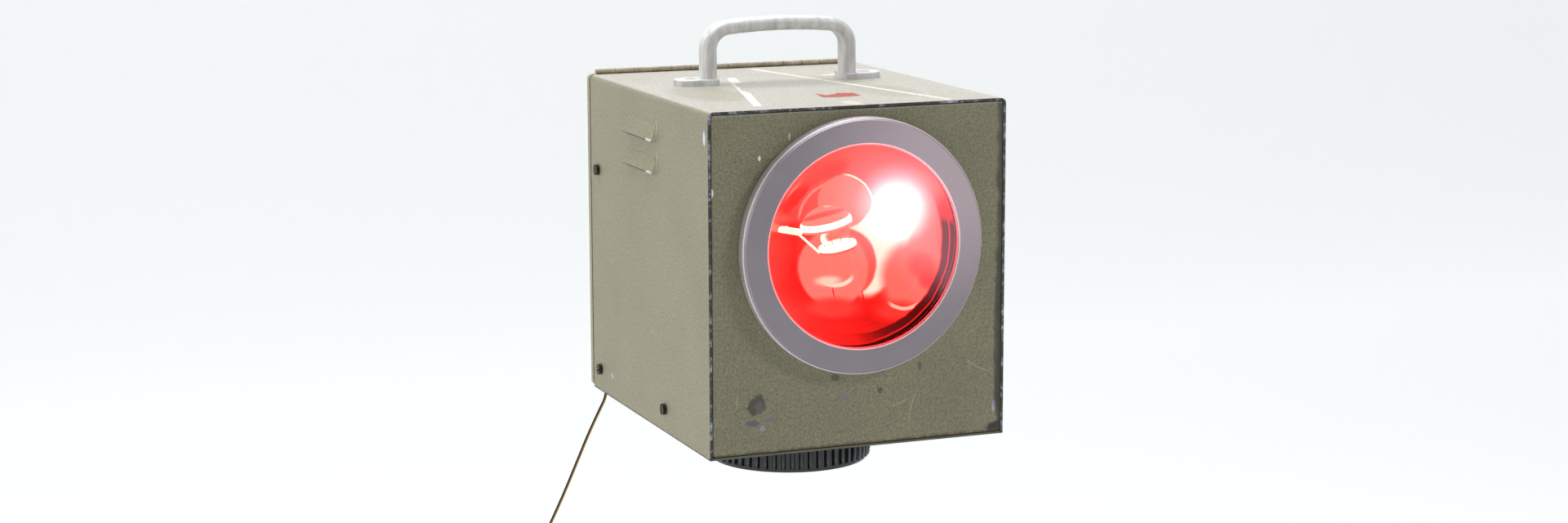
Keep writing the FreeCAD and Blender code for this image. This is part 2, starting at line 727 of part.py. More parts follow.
def case_sleeve():
    """The sleeve: one sheet folded over the top and down both sides, with louvres pressed out."""
    body = new_body("sleeve_fold")
    sketch = sketch_on(body, "XZ_Plane", "sleeve_section", "case_depth/2")
    half = "case_width/2"
    outline(sketch, [
        (f"-{half}", CASE_BOTTOM), (f"-{half}", CASE_TOP), (half, CASE_TOP), (half, CASE_BOTTOM),
        (INSIDE, CASE_BOTTOM), (INSIDE, CEILING), (f"-{INSIDE}", CEILING), (f"-{INSIDE}", CASE_BOTTOM),
    ])
    sheet = pad(body, sketch, f"{SLEEVE_BACK} - {CASE_FRONT}", back=True)

    def outer_fold(edge):
        return runs_along("y", edge) and near(edge.CenterOfMass.z, CASE_TOP)

    def inner_fold(edge):
        return runs_along("y", edge) and near(edge.CenterOfMass.z, CEILING)

    outer = round_edges(body, sheet, "fold_radius", outer_fold)
    round_edges(body, outer, "fold_radius - case_sheet", inner_fold)
    levels = range(round(value("louvre_count")))
    sides = ((1, "right"), (-1, "left"))
    pressed = [louvre_form(f"louvre_{n}_{i}", s, i, False) for s, n in sides for i in levels]
    hollows = [louvre_form(f"louvre_hollow_{n}_{i}", s, i, True) for s, n in sides for i in levels]
    feet = [
        rod(f"sleeve_handle_hole_{n}", "handle_screw_radius + fit_gap", "case_sheet + 2*overrun",
            f"{s}*foot_screw + handle_aside", "handle_back", f"{CEILING} - overrun")
        for s, n in sides
    ]
    holes = side_holes("sleeve", f"({INSIDE} - overrun)")
    node("case_sleeve", cut("sleeve", fuse("sleeve_pressed", [body] + pressed), hollows + holes + feet))


def front_panel():
    """The front panel: a sheet with a flange folded back all round and stepped out, and the lamp hole."""
    body = new_body("panel")
    side, tight = f"({INSIDE} - panel_gap)", f"({INSIDE} - fit_gap)"
    low, high = f"({TRAY_TOP} + panel_gap)", f"({CEILING} - panel_gap)"
    snug = f"({CEILING} - fit_gap)"
    sketch = sketch_on(body, "XZ_Plane", "panel_outline", f"-{PANEL_FACE}")
    rectangle(sketch, f"-{side}", low, side, high)
    plate = pad(body, sketch, "panel_step", back=True)

    def corner(edge):
        return runs_along("y", edge)

    round_edges(body, plate, "fold_radius - case_sheet - panel_gap", corner)
    seat = sketch_on(body, "XZ_Plane", "panel_seat", f"-({PANEL_FACE} + panel_step)")
    rectangle(seat, f"-{tight}", TRAY_TOP, tight, snug)
    flange = pad(body, seat, "panel_flange - panel_step", back=True)

    def seat_corner(edge):
        return runs_along("y", edge) and edge.CenterOfMass.y > value(f"{PANEL_FACE} + panel_step")

    round_edges(body, flange, "fold_radius - case_sheet", seat_corner)
    hollow = sketch_on(body, "XZ_Plane", "panel_hollow", f"-({PANEL_FACE} + panel_sheet)")
    inner = f"({side} - panel_sheet)"
    rectangle(hollow, f"-{inner}", f"{low} + panel_sheet", inner, f"{high} - panel_sheet")
    pocket(body, hollow, "panel_flange")
    opening = sketch_on(body, "XZ_Plane", "panel_opening", f"-({PANEL_FACE} - overrun)")
    circle(opening, "lamp_hole_radius", "0", LAMP_UP)
    pocket(body, opening, "panel_sheet + 2*overrun")
    screws = ring_screw_rods("panel_hole", "ring_screw_radius + fit_gap")
    node("front_panel", cut("panel_drilled", body, screws))


def bottom_tray():
    """The tray that closes the case below, its side flanges inside the sleeve."""
    front, back = f"({PANEL_FACE} + panel_flange + tray_clear)", f"({FRAME_FRONT} - tray_clear)"
    side = f"({INSIDE} - fit_gap)"
    plate = block("tray_plate", (f"-{side}", CASE_FRONT, CASE_BOTTOM), (side, SLEEVE_BACK, TRAY_TOP))
    high = f"({CASE_BOTTOM} + tray_flange)"
    right = block("tray_right", (f"{side} - tray_sheet", front, CASE_BOTTOM), (side, back, high))
    left = block("tray_left", (f"-{side}", front, CASE_BOTTOM), (f"-{side} + tray_sheet", back, high))
    holes = side_holes("tray", f"({INSIDE} - tray_sheet - overrun)")[2::3]
    under = f"{CASE_BOTTOM} - overrun"
    deep = "tray_sheet + 2*overrun"
    holes.append(rod("tray_spindle_hole", "spindle_radius + running_gap", deep, "0", "0", under))
    holes.append(rod("tray_lead_hole", "grommet_hole", deep, "-grommet_left", "grommet_back", under))
    for sign, word in ((1, "right"), (-1, "left")):
        x = f"{BRACKET_X} + {sign}*bracket_screw_spread"
        hole = f"tray_bracket_hole_{word}"
        holes.append(rod(hole, "bracket_screw_radius + fit_gap", deep, x, BRACKET_SCREW_Y, under))
    node("base_tray", cut("tray", fuse("tray_folded", [plate, right, left]), holes))


def rear_frame():
    """The frame inside the back of the sleeve, with the lip that the door seals on."""
    low, high = f"({TRAY_TOP} + fit_gap)", f"({CEILING} - fit_gap)"
    body = new_body("frame")
    sketch = sketch_on(body, "XZ_Plane", "frame_outline", f"-{FRAME_FRONT}")
    rectangle(sketch, f"-{FRAME_SIDE}", low, FRAME_SIDE, high)
    ring = pad(body, sketch, "frame_web", back=True)

    def corner(edge):
        return runs_along("y", edge)

    round_edges(body, ring, "fold_radius - case_sheet", corner)
    hollow = sketch_on(body, "XZ_Plane", "frame_hollow", f"-({FRAME_FRONT} - overrun)")
    inner = f"({FRAME_SIDE} - frame_sheet)"
    rectangle(hollow, f"-{inner}", f"{low} + frame_sheet", inner, f"{high} - frame_sheet")
    pocket(body, hollow, "frame_web + overrun - frame_sheet")
    mouth = sketch_on(body, "XZ_Plane", "frame_mouth", f"-({LIP_FRONT} - overrun)")
    edge = f"({FRAME_SIDE} - frame_lip)"
    rectangle(mouth, f"-{edge}", f"{low} + frame_lip", edge, f"{high} - frame_lip")
    pocket(body, mouth, "frame_sheet + 2*overrun")
    holes = side_holes("frame", f"({INSIDE} - fit_gap - frame_sheet - overrun)")
    holes = holes[0:2] + holes[3:5]
    deep = "frame_sheet + 2*overrun"
    start = f"{low} - overrun"
    holes.append(rod("frame_lead_hole", "grommet_hole", deep, "-grommet_left", "grommet_back", start))
    leaf = "leaf_sheet + fit_gap"
    reach = f"({SLEEVE_BACK} - leaf_reach - fit_gap)"
    half = "(knuckle_pairs*knuckle_pitch + fit_gap)"
    near_corner = (f"-{half}", reach, f"{CEILING} - ({leaf})")
    relief = block("frame_leaf_relief", near_corner, (half, f"{LIP_BACK} + overrun", CASE_TOP))
    node("rear_frame", cut("frame_drilled", body, holes + [relief]))


def slotted_screw(name, x, y, z, turn, across):
    """A cheese-head screw whose head stands out along the turned Z, with a driver slot across it."""
    head = rod(f"{name}_head", "side_head_radius", "side_head_height", x, y, z, turn)
    shank = rod(f"{name}_shank", "side_screw_radius", "side_screw_length", x, y, z, turn * DOWN)
    sign = 1 if turn == RIGHTWARD else -1
    slot_floor = f"({x} + {sign}*(side_head_height - side_slot_depth))"
    slot_end = f"({x} + {sign}*(side_head_height + overrun))"
    low, high = (slot_floor, slot_end) if sign > 0 else (slot_end, slot_floor)
    thin, long = "side_slot_width/2", "(side_head_radius + overrun)"
    half = (thin, long) if across == "z" else (long, thin)
    near_corner = (low, f"{y} - {half[0]}", f"{z} - {half[1]}")
    slot = block(f"{name}_slot", near_corner, (high, f"{y} + {half[0]}", f"{z} + {half[1]}"))
    return cut(name, fuse(f"{name}_solid", [head, shank]), [slot])


def side_screws():
    """Three slotted screws on each side of the case."""
    for sign, word, turn in ((1, "right", RIGHTWARD), (-1, "left", LEFTWARD)):
        screws = []
        for i, (y, z) in enumerate(side_screw_places()):
            across = "y" if i == 1 else "z"
            name = f"side_screw_{word}_{i}"
            screws.append(slotted_screw(name, f"({sign}*case_width/2)", y, z, turn, across))
        node(f"side_screws_{word}", group(f"side_screws_{word}", screws))


# Carrying handle


def handle_shape():
    """The cast handle: a rounded bar swept up, across and down, on two tongue-shaped feet."""
    leg, bend, crown = value("handle_leg"), value("handle_bend"), value("handle_crown")
    deep, thick, edge = value("handle_deep"), value("handle_thick"), value("handle_edge")
    base, back = value(HANDLE_BASE), value("handle_back")
    top = base + value("handle_rise") - thick / 2
    crown_centre = top - crown
    tilt = math.asin((leg - bend) / (crown - bend))
    bend_height = crown_centre + (crown - bend) * math.cos(tilt)

    def point(x, z):
        return Vector(x, back, z)

    def bend_arc(sign):
        centre_x = sign * (leg - bend)
        half = (math.pi / 2 + tilt) / 2
        start = point(sign * leg, bend_height)
        halfway = math.pi / 2 - half
        middle = point(centre_x + sign * bend * math.cos(halfway), bend_height + bend * math.sin(halfway))
        end = point(centre_x + sign * bend * math.sin(tilt), bend_height + bend * math.cos(tilt))
        return start, middle, end

    left, right = bend_arc(-1), bend_arc(1)
    foot = value("foot_thickness")
    spine = Part.Wire([
        Part.LineSegment(point(-leg, base + foot / 2), left[0]).toShape(),
        Part.Arc(*left).toShape(),
        Part.Arc(left[2], point(0, top), right[2]).toShape(),
        Part.Arc(*reversed(right)).toShape(),
        Part.LineSegment(right[0], point(leg, base + foot / 2)).toShape(),
    ])
    slab = Part.makeBox(thick, deep, thick, point(-leg, base + foot / 2) - Vector(thick / 2, deep / 2, 0))
    uprights = [e for e in slab.Edges if runs_along("z", e)]
    rounded = slab.makeFillet(edge, uprights)
    section = min(rounded.Faces, key=lambda f: f.CenterOfMass.z).OuterWire
    bar = spine.makePipeShell([section], True, True)
    width, reach = value("foot_width"), value("foot_reach")
    feet = []
    for sign in (-1, 1):
        inner = leg - thick / 2
        length = reach - width / 2 - inner
        low = min(sign * inner, sign * (inner + length))
        plate = Part.makeBox(length, width, foot, Vector(low, back - width / 2, base))
        tip = Part.makeCylinder(width / 2, foot, Vector(sign * (reach - width / 2), back, base))
        tongue = plate.fuse(tip).removeSplitter()
        upper = [e for e in tongue.Edges if near(e.CenterOfMass.z, f"{HANDLE_BASE} + foot_thickness")]
        rim = [e for e in upper if not near(e.CenterOfMass.x, f"{sign}*({inner})")]
        feet.append(tongue.makeFillet(value("foot_round"), rim))
    solid = bar.fuse(feet).removeSplitter()
    hole = value("handle_screw_radius + fit_gap")
    head, cone = value("handle_screw_head + fit_gap"), value("handle_screw_cone")
    for sign in (-1, 1):
        at = Vector(sign * value("foot_screw"), back, base)
        solid = solid.cut(Part.makeCylinder(hole, foot, at))
        solid = solid.cut(Part.makeCone(hole, head, cone, at + Vector(0, 0, foot - cone)))
    return solid.translated(Vector(value("handle_aside"), 0, 0))


def carry_handle():
    """The handle with its screws, washers and nuts."""
    node("carry_handle", drawn("handle", handle_shape))
    screws, washers, nuts = [], [], []
    grip = "(foot_thickness + case_sheet + handle_washer + handle_nut_height + handle_screw_past)"
    for sign, word in ((1, "right"), (-1, "left")):
        x, y = f"({sign}*foot_screw + handle_aside)", "handle_back"
        face = f"({CASE_TOP} + foot_thickness)"
        shank = rod(f"handle_shank_{word}", "handle_screw_radius", grip, x, y, face, DOWN)
        sunk = f"handle_head_{word}"
        head = taper(sunk, "handle_screw_head", "handle_screw_radius", "handle_screw_cone", x, y, face, DOWN)
        screws.append(fuse(f"handle_screw_{word}", [shank, head]))
        clear = "handle_screw_radius + fit_gap"
        name = f"handle_washer_{word}"
        plate = rod(f"{name}_disc", "handle_washer_radius", "handle_washer", x, y, CEILING, DOWN)
        bore = rod(f"{name}_bore", clear, "handle_washer", x, y, CEILING, DOWN)
        washers.append(cut(name, plate, [bore]))
        under = f"({CEILING} - handle_washer)"
        body = hexagon(f"handle_nut_body_{word}", "handle_nut_radius", "handle_nut_height", x, y, under, DOWN)
        thread = rod(f"handle_nut_bore_{word}", clear, "handle_nut_height", x, y, under, DOWN)
        nuts.append(cut(f"handle_nut_{word}", body, [thread]))
    node("handle_screws", group("handle_screws", screws))
    node("handle_washers", group("handle_washers", washers))
    node("handle_nuts", group("handle_nuts", nuts))


# Turning base


def ribbed_band():
    """The moulded band round the base: ribs outside, and inside a ledge that the plate sits on."""
    core = "(rib_radius - rib_depth)"
    body = turned("band", [
        (BAND_INSIDE, "0"), (core, "0"), (core, "base_height"), (BAND_INSIDE, "base_height"),
        (BAND_INSIDE, PLATE_LOW), (f"{BAND_INSIDE} - base_ledge", PLATE_LOW),
        (f"{BAND_INSIDE} - base_ledge", f"{PLATE_LOW} - base_ledge/2"),
        (BAND_INSIDE, f"{PLATE_LOW} - base_ledge*3/2"),
    ])
    rib = sketch_on(body, "XY_Plane", "rib_section", "rib_margin")
    root = f"({core} - rib_root)"
    outline(rib, [
        (root, "-rib_width/2"), (core, "-rib_width/2"), ("rib_radius", "-rib_crest/2"),
        ("rib_radius", "rib_crest/2"), (core, "rib_width/2"), (root, "rib_width/2"),
    ])
    rib_pad = pad(body, rib, "base_height - 2*rib_margin")
    ribs = body.newObject("PartDesign::PolarPattern", "ribs")
    ribs.Originals = [rib_pad]
    ribs.Axis = (rib, ["N_Axis"])
    ribs.Angle = 360
    bind(ribs, "Occurrences", "rib_count")
    body.Tip = ribs
    node("base_band", body)


def bush_screw_rods(name, radius, low, length):
    """Upright rods at the screws that hold the bush under the plate."""
    rods = []

    def one(i, angle):
        x = f"bush_screw_pitch*cos({angle}*1deg)"
        y = f"bush_screw_pitch*sin({angle}*1deg)"
        rods.append(rod(f"{name}_{i}", radius, length, x, y, low))

    ring_of(name, "bush_screw_count", one)
    return rods


def base_plate():
    """The cast plate inside the band, with gussets under it."""
    edge = f"({BAND_INSIDE} - fit_gap)"
    body = turned("plate", [
        ("spindle_radius + fit_gap", PLATE_LOW), (edge, PLATE_LOW),
        (edge, "base_height"), ("spindle_radius + fit_gap", "base_height"),
    ])
    web = sketch_on(body, "XY_Plane", "web_section", f"{PLATE_LOW} - base_web_drop")
    far = f"{BAND_INSIDE} - base_ledge - fit_gap"
    rectangle(web, "bush_flange_radius + base_web", "-base_web/2", far, "base_web/2")
    web_pad = pad(body, web, "base_web_drop + base_web_root")
    webs = body.newObject("PartDesign::PolarPattern", "webs")
    webs.Originals = [web_pad]
    webs.Axis = (web, ["N_Axis"])
    webs.Angle = 360
    bind(webs, "Occurrences", "base_web_count")
    body.Tip = webs
    holes = bush_screw_rods("plate_hole", "bush_screw_radius + fit_gap", PLATE_LOW, "bush_screw_grip")
    node("turning_base", cut("plate_drilled", body, holes))


def bush_and_screws():
    """The bush for the tripod's screw, under the plate, with the pocket for the spindle's head."""
    pocket = "(spindle_head_radius + fit_gap)"
    under = f"({PLATE_LOW} - bush_flange)"
    blank = turned("bush", [
        ("bush_bore_radius", "0"), ("bush_radius", "0"), ("bush_radius", under),
        ("bush_flange_radius", under),
        ("bush_flange_radius", PLATE_LOW), (pocket, PLATE_LOW), (pocket, POCKET_FLOOR),
        ("bush_bore_radius", POCKET_FLOOR),
    ])
    holes = bush_screw_rods("bush_hole", "bush_screw_radius + fit_gap", under, "bush_flange")
    node("tripod_bush", cut("bush_drilled", blank, holes))
    shanks = bush_screw_rods("bush_screw_shank", "bush_screw_radius", under, "bush_flange + bush_screw_grip")
    tall = "bush_screw_head_height"
    heads = bush_screw_rods("bush_screw_head", "bush_screw_head", f"{under} - {tall}", tall)
    screws = [fuse(f"bush_screw_{i}", [head, shank]) for i, (head, shank) in enumerate(zip(heads, shanks))]
    node("bush_screws", group("bush_screws", screws))


def spindle_parts():
    """The spindle that the case turns on, its washers and its stiff nut."""
    seat = f"({POCKET_FLOOR} + fit_gap)"
    head = hexagon("spindle_hexagon", "spindle_head_radius", "spindle_head", "0", "0", seat)
    reach = f"({TRAY_TOP} + friction_thickness + pan_nut + spindle_end - {seat})"
    shank = rod("spindle_shank", "spindle_radius", reach, "0", "0", seat)
    node("pan_spindle", fuse("spindle", [head, shank]))
    slip = washer_points("thrust_inner", "thrust_radius", "base_height", "base_height + thrust_thickness")
    node("thrust_washer", turned("thrust", slip))
    rest = f"({TRAY_TOP} + thrust_rest)"
    bore = "spindle_radius + fit_gap"
    spring = washer_points(bore, "friction_radius", rest, f"{rest} + friction_thickness - thrust_rest")
    node("friction_washer", turned("friction", spring))
    level = f"{TRAY_TOP} + friction_thickness"
    nut = hexagon("pan_nut_hexagon", "spindle_head_radius", "pan_nut", "0", "0", level)
    hole = rod("pan_nut_bore", bore, "pan_nut", "0", "0", level)
    node("pan_nut", cut("pan_nut_bored", nut, [hole]))


# Lamp front


def ring_screw_rods(name, radius):
    """Rods along the lamp axis at the six ring screws."""
    length = "ring_screw_grip + panel_sheet + reflector_sheet"
    rods = []

    def one(i, angle):
        x = f"ring_screw_pitch*cos({angle}*1deg)"
        z = f"{LAMP_UP} + ring_screw_pitch*sin({angle}*1deg)"
        start = f"{PANEL_FACE} + panel_sheet + reflector_sheet"
        rods.append(rod(f"{name}_{i}", radius, length, x, start, z, FORWARD))

    ring_of(name, "ring_screw_count", one)
    return rods


def lugs_on(body, inner, outer, low, high):
    """Three bayonet lugs on a turned body, as a pad repeated round its axis."""
    sketch = sketch_on(body, "XZ_Plane", f"{body.Name}_lug")
    outline(sketch, washer_points(inner, outer, low, high))
    lug = body.newObject("PartDesign::Revolution", f"{body.Name}_lug_turn")
    lug.Profile = (sketch, [""])
    lug.ReferenceAxis = (sketch, ["V_Axis"])
    bind(lug, "Angle", "lug_span")
    lugs = body.newObject("PartDesign::PolarPattern", f"{body.Name}_lugs")
    lugs.Originals = [lug]
    lugs.Axis = (sketch, ["V_Axis"])
    lugs.Angle = 360
    bind(lugs, "Occurrences", "lug_count")
    body.Tip = lugs


def bezel():
    """The turned bezel with its bayonet lugs, the red glass, its gaskets and spring ring."""
    wall = "(bezel_radius - bezel_wall)"
    face_back = "(bezel_depth - bezel_wall)"
    ledge = "(bezel_depth - bezel_ledge)"
    seat = "(glass_radius + glass_play)"
    ring = turned("bezel_form", [
        ("bezel_radius", "bezel_lift"), ("bezel_radius", "bezel_depth - bezel_step_depth"),
        ("bezel_radius - bezel_step", "bezel_depth - bezel_step_depth"),
        ("bezel_radius - bezel_step", "bezel_depth - bezel_chamfer_depth"),
        ("bezel_radius - bezel_step - bezel_chamfer", "bezel_depth"),
        ("bezel_opening + opening_chamfer", "bezel_depth"),
        ("bezel_opening", "bezel_depth - opening_chamfer"), ("bezel_opening", ledge),
        (seat, ledge), (seat, RETAINER_FRONT), (f"{seat} + retainer_grip", RETAINER_FRONT),
        (f"{seat} + retainer_grip", RETAINER_BACK), (seat, RETAINER_BACK), (seat, "carrier_lift"),
        (f"{seat} + carrier_wall", "carrier_lift"), (f"{seat} + carrier_wall", face_back),
        (wall, face_back), (wall, "bezel_lift"),
    ])
    lugs_on(ring, "ring_outer + running_gap", f"{wall} + bezel_wall/2", "bezel_lift",
            "ring_height - lug_thickness - lug_gap")
    node("bezel_ring", on_lamp(ring))
    glass_front = f"{ledge} - gasket_thickness"
    front = washer_points("gasket_inner", "glass_radius", glass_front, ledge)
    node("front_gasket", on_lamp(turned("front_gasket_form", front)))
    disc = washer_points("0", "glass_radius", GLASS_BACK, glass_front)
    node("filter_glass", on_lamp(turned("glass_form", disc)))
    rear = washer_points("gasket_inner", "glass_radius", f"{GLASS_BACK} - gasket_thickness", GLASS_BACK)
    node("rear_gasket", on_lamp(turned("rear_gasket_form", rear)))
    outer = f"({seat} + retainer_grip - fit_gap)"
    spring = washer_points(f"{outer} - retainer_width", outer, f"{RETAINER_BACK} + fit_gap/2", RETAINER_FRONT)
    node("retaining_ring", on_lamp(turned("retainer_form", spring)))


def bayonet_ring():
    """The fixed ring on the panel that the bezel turns and locks on, tapped for its screws from behind."""
    ring = turned("mount_form", washer_points("ring_inner", "ring_outer", "0", "ring_height"))
    lugs_on(ring, "(ring_inner + ring_outer)/2", "bezel_radius - bezel_wall - running_gap",
            "ring_height - lug_thickness", "ring_height")
    holes = ring_screw_rods("mount_hole", "ring_screw_radius + fit_gap/2")
    node("bayonet_ring", cut("mount_tapped", on_lamp(ring), holes))
    screws = []
    tall = "ring_screw_head_height"
    back = f"{PANEL_FACE} + panel_sheet + reflector_sheet"
    for i, shank in enumerate(ring_screw_rods("ring_screw_shank", "ring_screw_radius")):
        angle = f"({i}*360/ring_screw_count)"
        x = f"ring_screw_pitch*cos({angle}*1deg)"
        z = f"{LAMP_UP} + ring_screw_pitch*sin({angle}*1deg)"
        head = rod(f"ring_screw_head_{i}", "ring_screw_head", tall, x, back, z, BACKWARD)
        screws.append(fuse(f"ring_screw_{i}", [shank, head]))
    node("ring_screws", group("ring_screws", screws))


def reflector_shape():
    """The spun paraboloid with its flange and the vent at its vertex, its mouth at the panel's back."""
    focal, mouth, sheet = value("focal_length"), value("mouth_radius"), value("reflector_sheet")
    flange, vent = value("reflector_flange_radius"), value("vertex_vent_radius")
    depth = mouth**2 / (4 * focal)
    arcs = 6

    def branch(shift):
        radii = [vent + (mouth - vent) * i / (2 * arcs) for i in range(2 * arcs + 1)]
        points = [Vector(r, 0, r**2 / (4 * focal) - depth - shift) for r in radii]
        return [Part.Arc(*points[2 * i:2 * i + 3]).toShape() for i in range(arcs)]

    inner, outer = branch(0), branch(sheet)
    rim = [Vector(mouth, 0, 0), Vector(flange, 0, 0), Vector(flange, 0, -sheet), Vector(mouth, 0, -sheet)]
    lines = [Part.LineSegment(a, b).toShape() for a, b in zip(rim, rim[1:])]
    low = vent**2 / (4 * focal) - depth
    lines.append(Part.LineSegment(Vector(vent, 0, low), Vector(vent, 0, low - sheet)).toShape())
    wire = Part.Wire(Part.__sortEdges__(inner + outer + lines))
    return Part.Face(wire).revolve(Vector(0, 0, 0), Vector(0, 0, 1), 360)


def reflector():
    """The reflector, with holes for the bulb socket, the shield's stud and the ring screws."""
    bowl = drawn("reflector_bowl", reflector_shape)
    place(bowl, "0", f"{PANEL_FACE} + panel_sheet", LAMP_UP, FORWARD)
    holes = ring_screw_rods("reflector_hole", "ring_screw_radius + fit_gap")
    wide = "socket_radius + overrun"
    socket = add("Part::Cylinder", "reflector_socket_hole", Radius=wide, Height="socket_length")
    depth = "socket_length + collar_height"
    lean_piece(socket, BULB_DOWN_X.format(depth), BULB_DOWN_Z.format(depth))
    start = f"-{ARM_WALL} + focal_length/2"
    level = f"{LAMP_UP} + {ARM_HIGH}"
    clear = "arm_stud_radius + fit_gap"
    stud = rod("reflector_stud_hole", clear, "focal_length", start, BULB_Y, level, LEFTWARD)
    node("reflector", cut("reflector_pierced", bowl, holes + [socket, stud]))


# Bulb, socket and shield


def bulb():
    """The bulb: glass globe, brass cap with its wide collar, and filament."""
    start = "collar_height/2"
    centre = f"globe_rise + {start}"
    solids = []
    for word, less in (("outer", "0"), ("inner", "globe_wall")):
        globe = add("Part::Sphere", f"globe_{word}", Radius=f"globe_radius - {less}")
        lean_piece(globe, BULB_UP_X.format(centre), BULB_UP_Z.format(centre))
        neck = add("Part::Cylinder", f"neck_{word}", Radius=f"globe_neck - {less}", Height="globe_rise")
        lean_piece(neck, BULB_UP_X.format(start), BULB_UP_Z.format(start))
        solids.append(fuse(f"bulb_{word}", [globe, neck]))
    trim = "2*globe_radius"
    below = add("Part::Cylinder", "globe_trim", Radius=trim, Height=trim)
    lean_piece(below, BULB_UP_X.format(f"({start} - {trim})"), BULB_UP_Z.format(f"({start} - {trim})"))
    node("bulb_glass", cut("globe_blown", solids[0], [solids[1], below]))
    cap = turned("cap_form", [
        ("0", "-collar_height/2 - cap_length"), ("cap_radius", "-collar_height/2 - cap_length"),
        ("cap_radius", "-collar_height/2"), ("collar_radius", "-collar_height/2"),
        ("collar_radius", "collar_height/2"), ("0", "collar_height/2"),
    ])
    node("bulb_cap", lean_piece(cap, "collar_right", "(-collar_drop)"))
    posts = []
    tall = "globe_rise"
    for sign, word in ((1, "right"), (-1, "left")):
        side = f"{sign}*filament_span/2"
        post = add("Part::Cylinder", f"filament_post_{word}", Radius="filament_radius", Height=tall)
        along, across = f"({start})", f"({side})"
        lean_piece(post, f"collar_right - {along}*sin(bulb_lean*1deg) + {across}*cos(bulb_lean*1deg)",
                   f"(-collar_drop + {along}*cos(bulb_lean*1deg) + {across}*sin(bulb_lean*1deg))")
        posts.append(post)
    thick = "2*filament_radius"
    coil = add("Part::Box", "filament_coil", Length="filament_span", Width=thick, Height=thick)
    along, across = f"({start} + globe_rise - filament_radius)", "(-filament_span/2)"
    lean_piece(coil, f"collar_right - {along}*sin(bulb_lean*1deg) + {across}*cos(bulb_lean*1deg)",
               f"(-collar_drop + {along}*cos(bulb_lean*1deg) + {across}*sin(bulb_lean*1deg))")
    bind(coil, "Placement.Base.y", f"{BULB_Y} - filament_radius")
    node("bulb_filament", fuse("filament", posts + [coil]))


def socket_and_bracket():
    """The bulb socket and the sheet bracket that stands it on the tray."""
    top = "(-collar_height/2)"
    bore = "(socket_radius - socket_wall)"
    tube_form = turned("socket_form", [
        (bore, top), ("socket_radius", top), ("socket_radius", f"{top} - socket_length"),
        ("0", f"{top} - socket_length"), ("0", f"{top} - socket_length + socket_floor"),
        (bore, f"{top} - socket_length + socket_floor"),
    ])
    node("bulb_socket", lean_piece(tube_form, "collar_right", "(-collar_drop)"))
    band = turned("clamp_form", washer_points(
        "socket_radius + fit_gap", "socket_radius + clamp_wall",
        "-clamp_drop - clamp_height/2", "-clamp_drop + clamp_height/2"))
    lean_piece(band, "collar_right", "(-collar_drop)")
    half = "bracket_width/2"
    back = f"({BULB_Y} + socket_radius + clamp_wall - bracket_sheet)"
    high = f"({LAMP_UP} - collar_drop - (clamp_drop - clamp_height/2)*cos(bulb_lean*1deg))"
    left, right, over = f"{BRACKET_X} - {half}", f"{BRACKET_X} + {half}", f"{TRAY_TOP} + bracket_sheet"
    upright = block("bracket_upright", (left, back, TRAY_TOP), (right, f"{back} + bracket_sheet", high))
    foot = block("bracket_plate", (left, back, TRAY_TOP), (right, f"{back} + bracket_foot", over))
    bore_tool = turned("clamp_bore", washer_points(
        "0", "socket_radius + fit_gap", "-clamp_drop - clamp_height", "-clamp_drop + clamp_height"))
    lean_piece(bore_tool, "collar_right", "(-collar_drop)")
    holes, screws = [bore_tool], []
    under = "bracket_screw_head_height"
    for sign, word in ((1, "right"), (-1, "left")):
        x = f"{BRACKET_X} + {sign}*bracket_screw_spread"
        length = "tray_sheet + bracket_sheet + 2*overrun"
        hole, clear = f"bracket_hole_{word}", "bracket_screw_radius + fit_gap"
        holes.append(rod(hole, clear, length, x, BRACKET_SCREW_Y, CASE_BOTTOM))
        head = rod(f"bracket_screw_head_{word}", "bracket_screw_head", under, x, BRACKET_SCREW_Y, over)
        name, grip = f"bracket_screw_shank_{word}", "bracket_sheet + tray_sheet"
        shank = rod(name, "bracket_screw_radius", grip, x, BRACKET_SCREW_Y, CASE_BOTTOM)
        screws.append(fuse(f"bracket_screw_{word}", [head, shank]))
    node("socket_bracket", cut("bracket", fuse("bracket_folded", [band, upright, foot]), holes))
    node("bracket_screws", group("bracket_screws", screws))


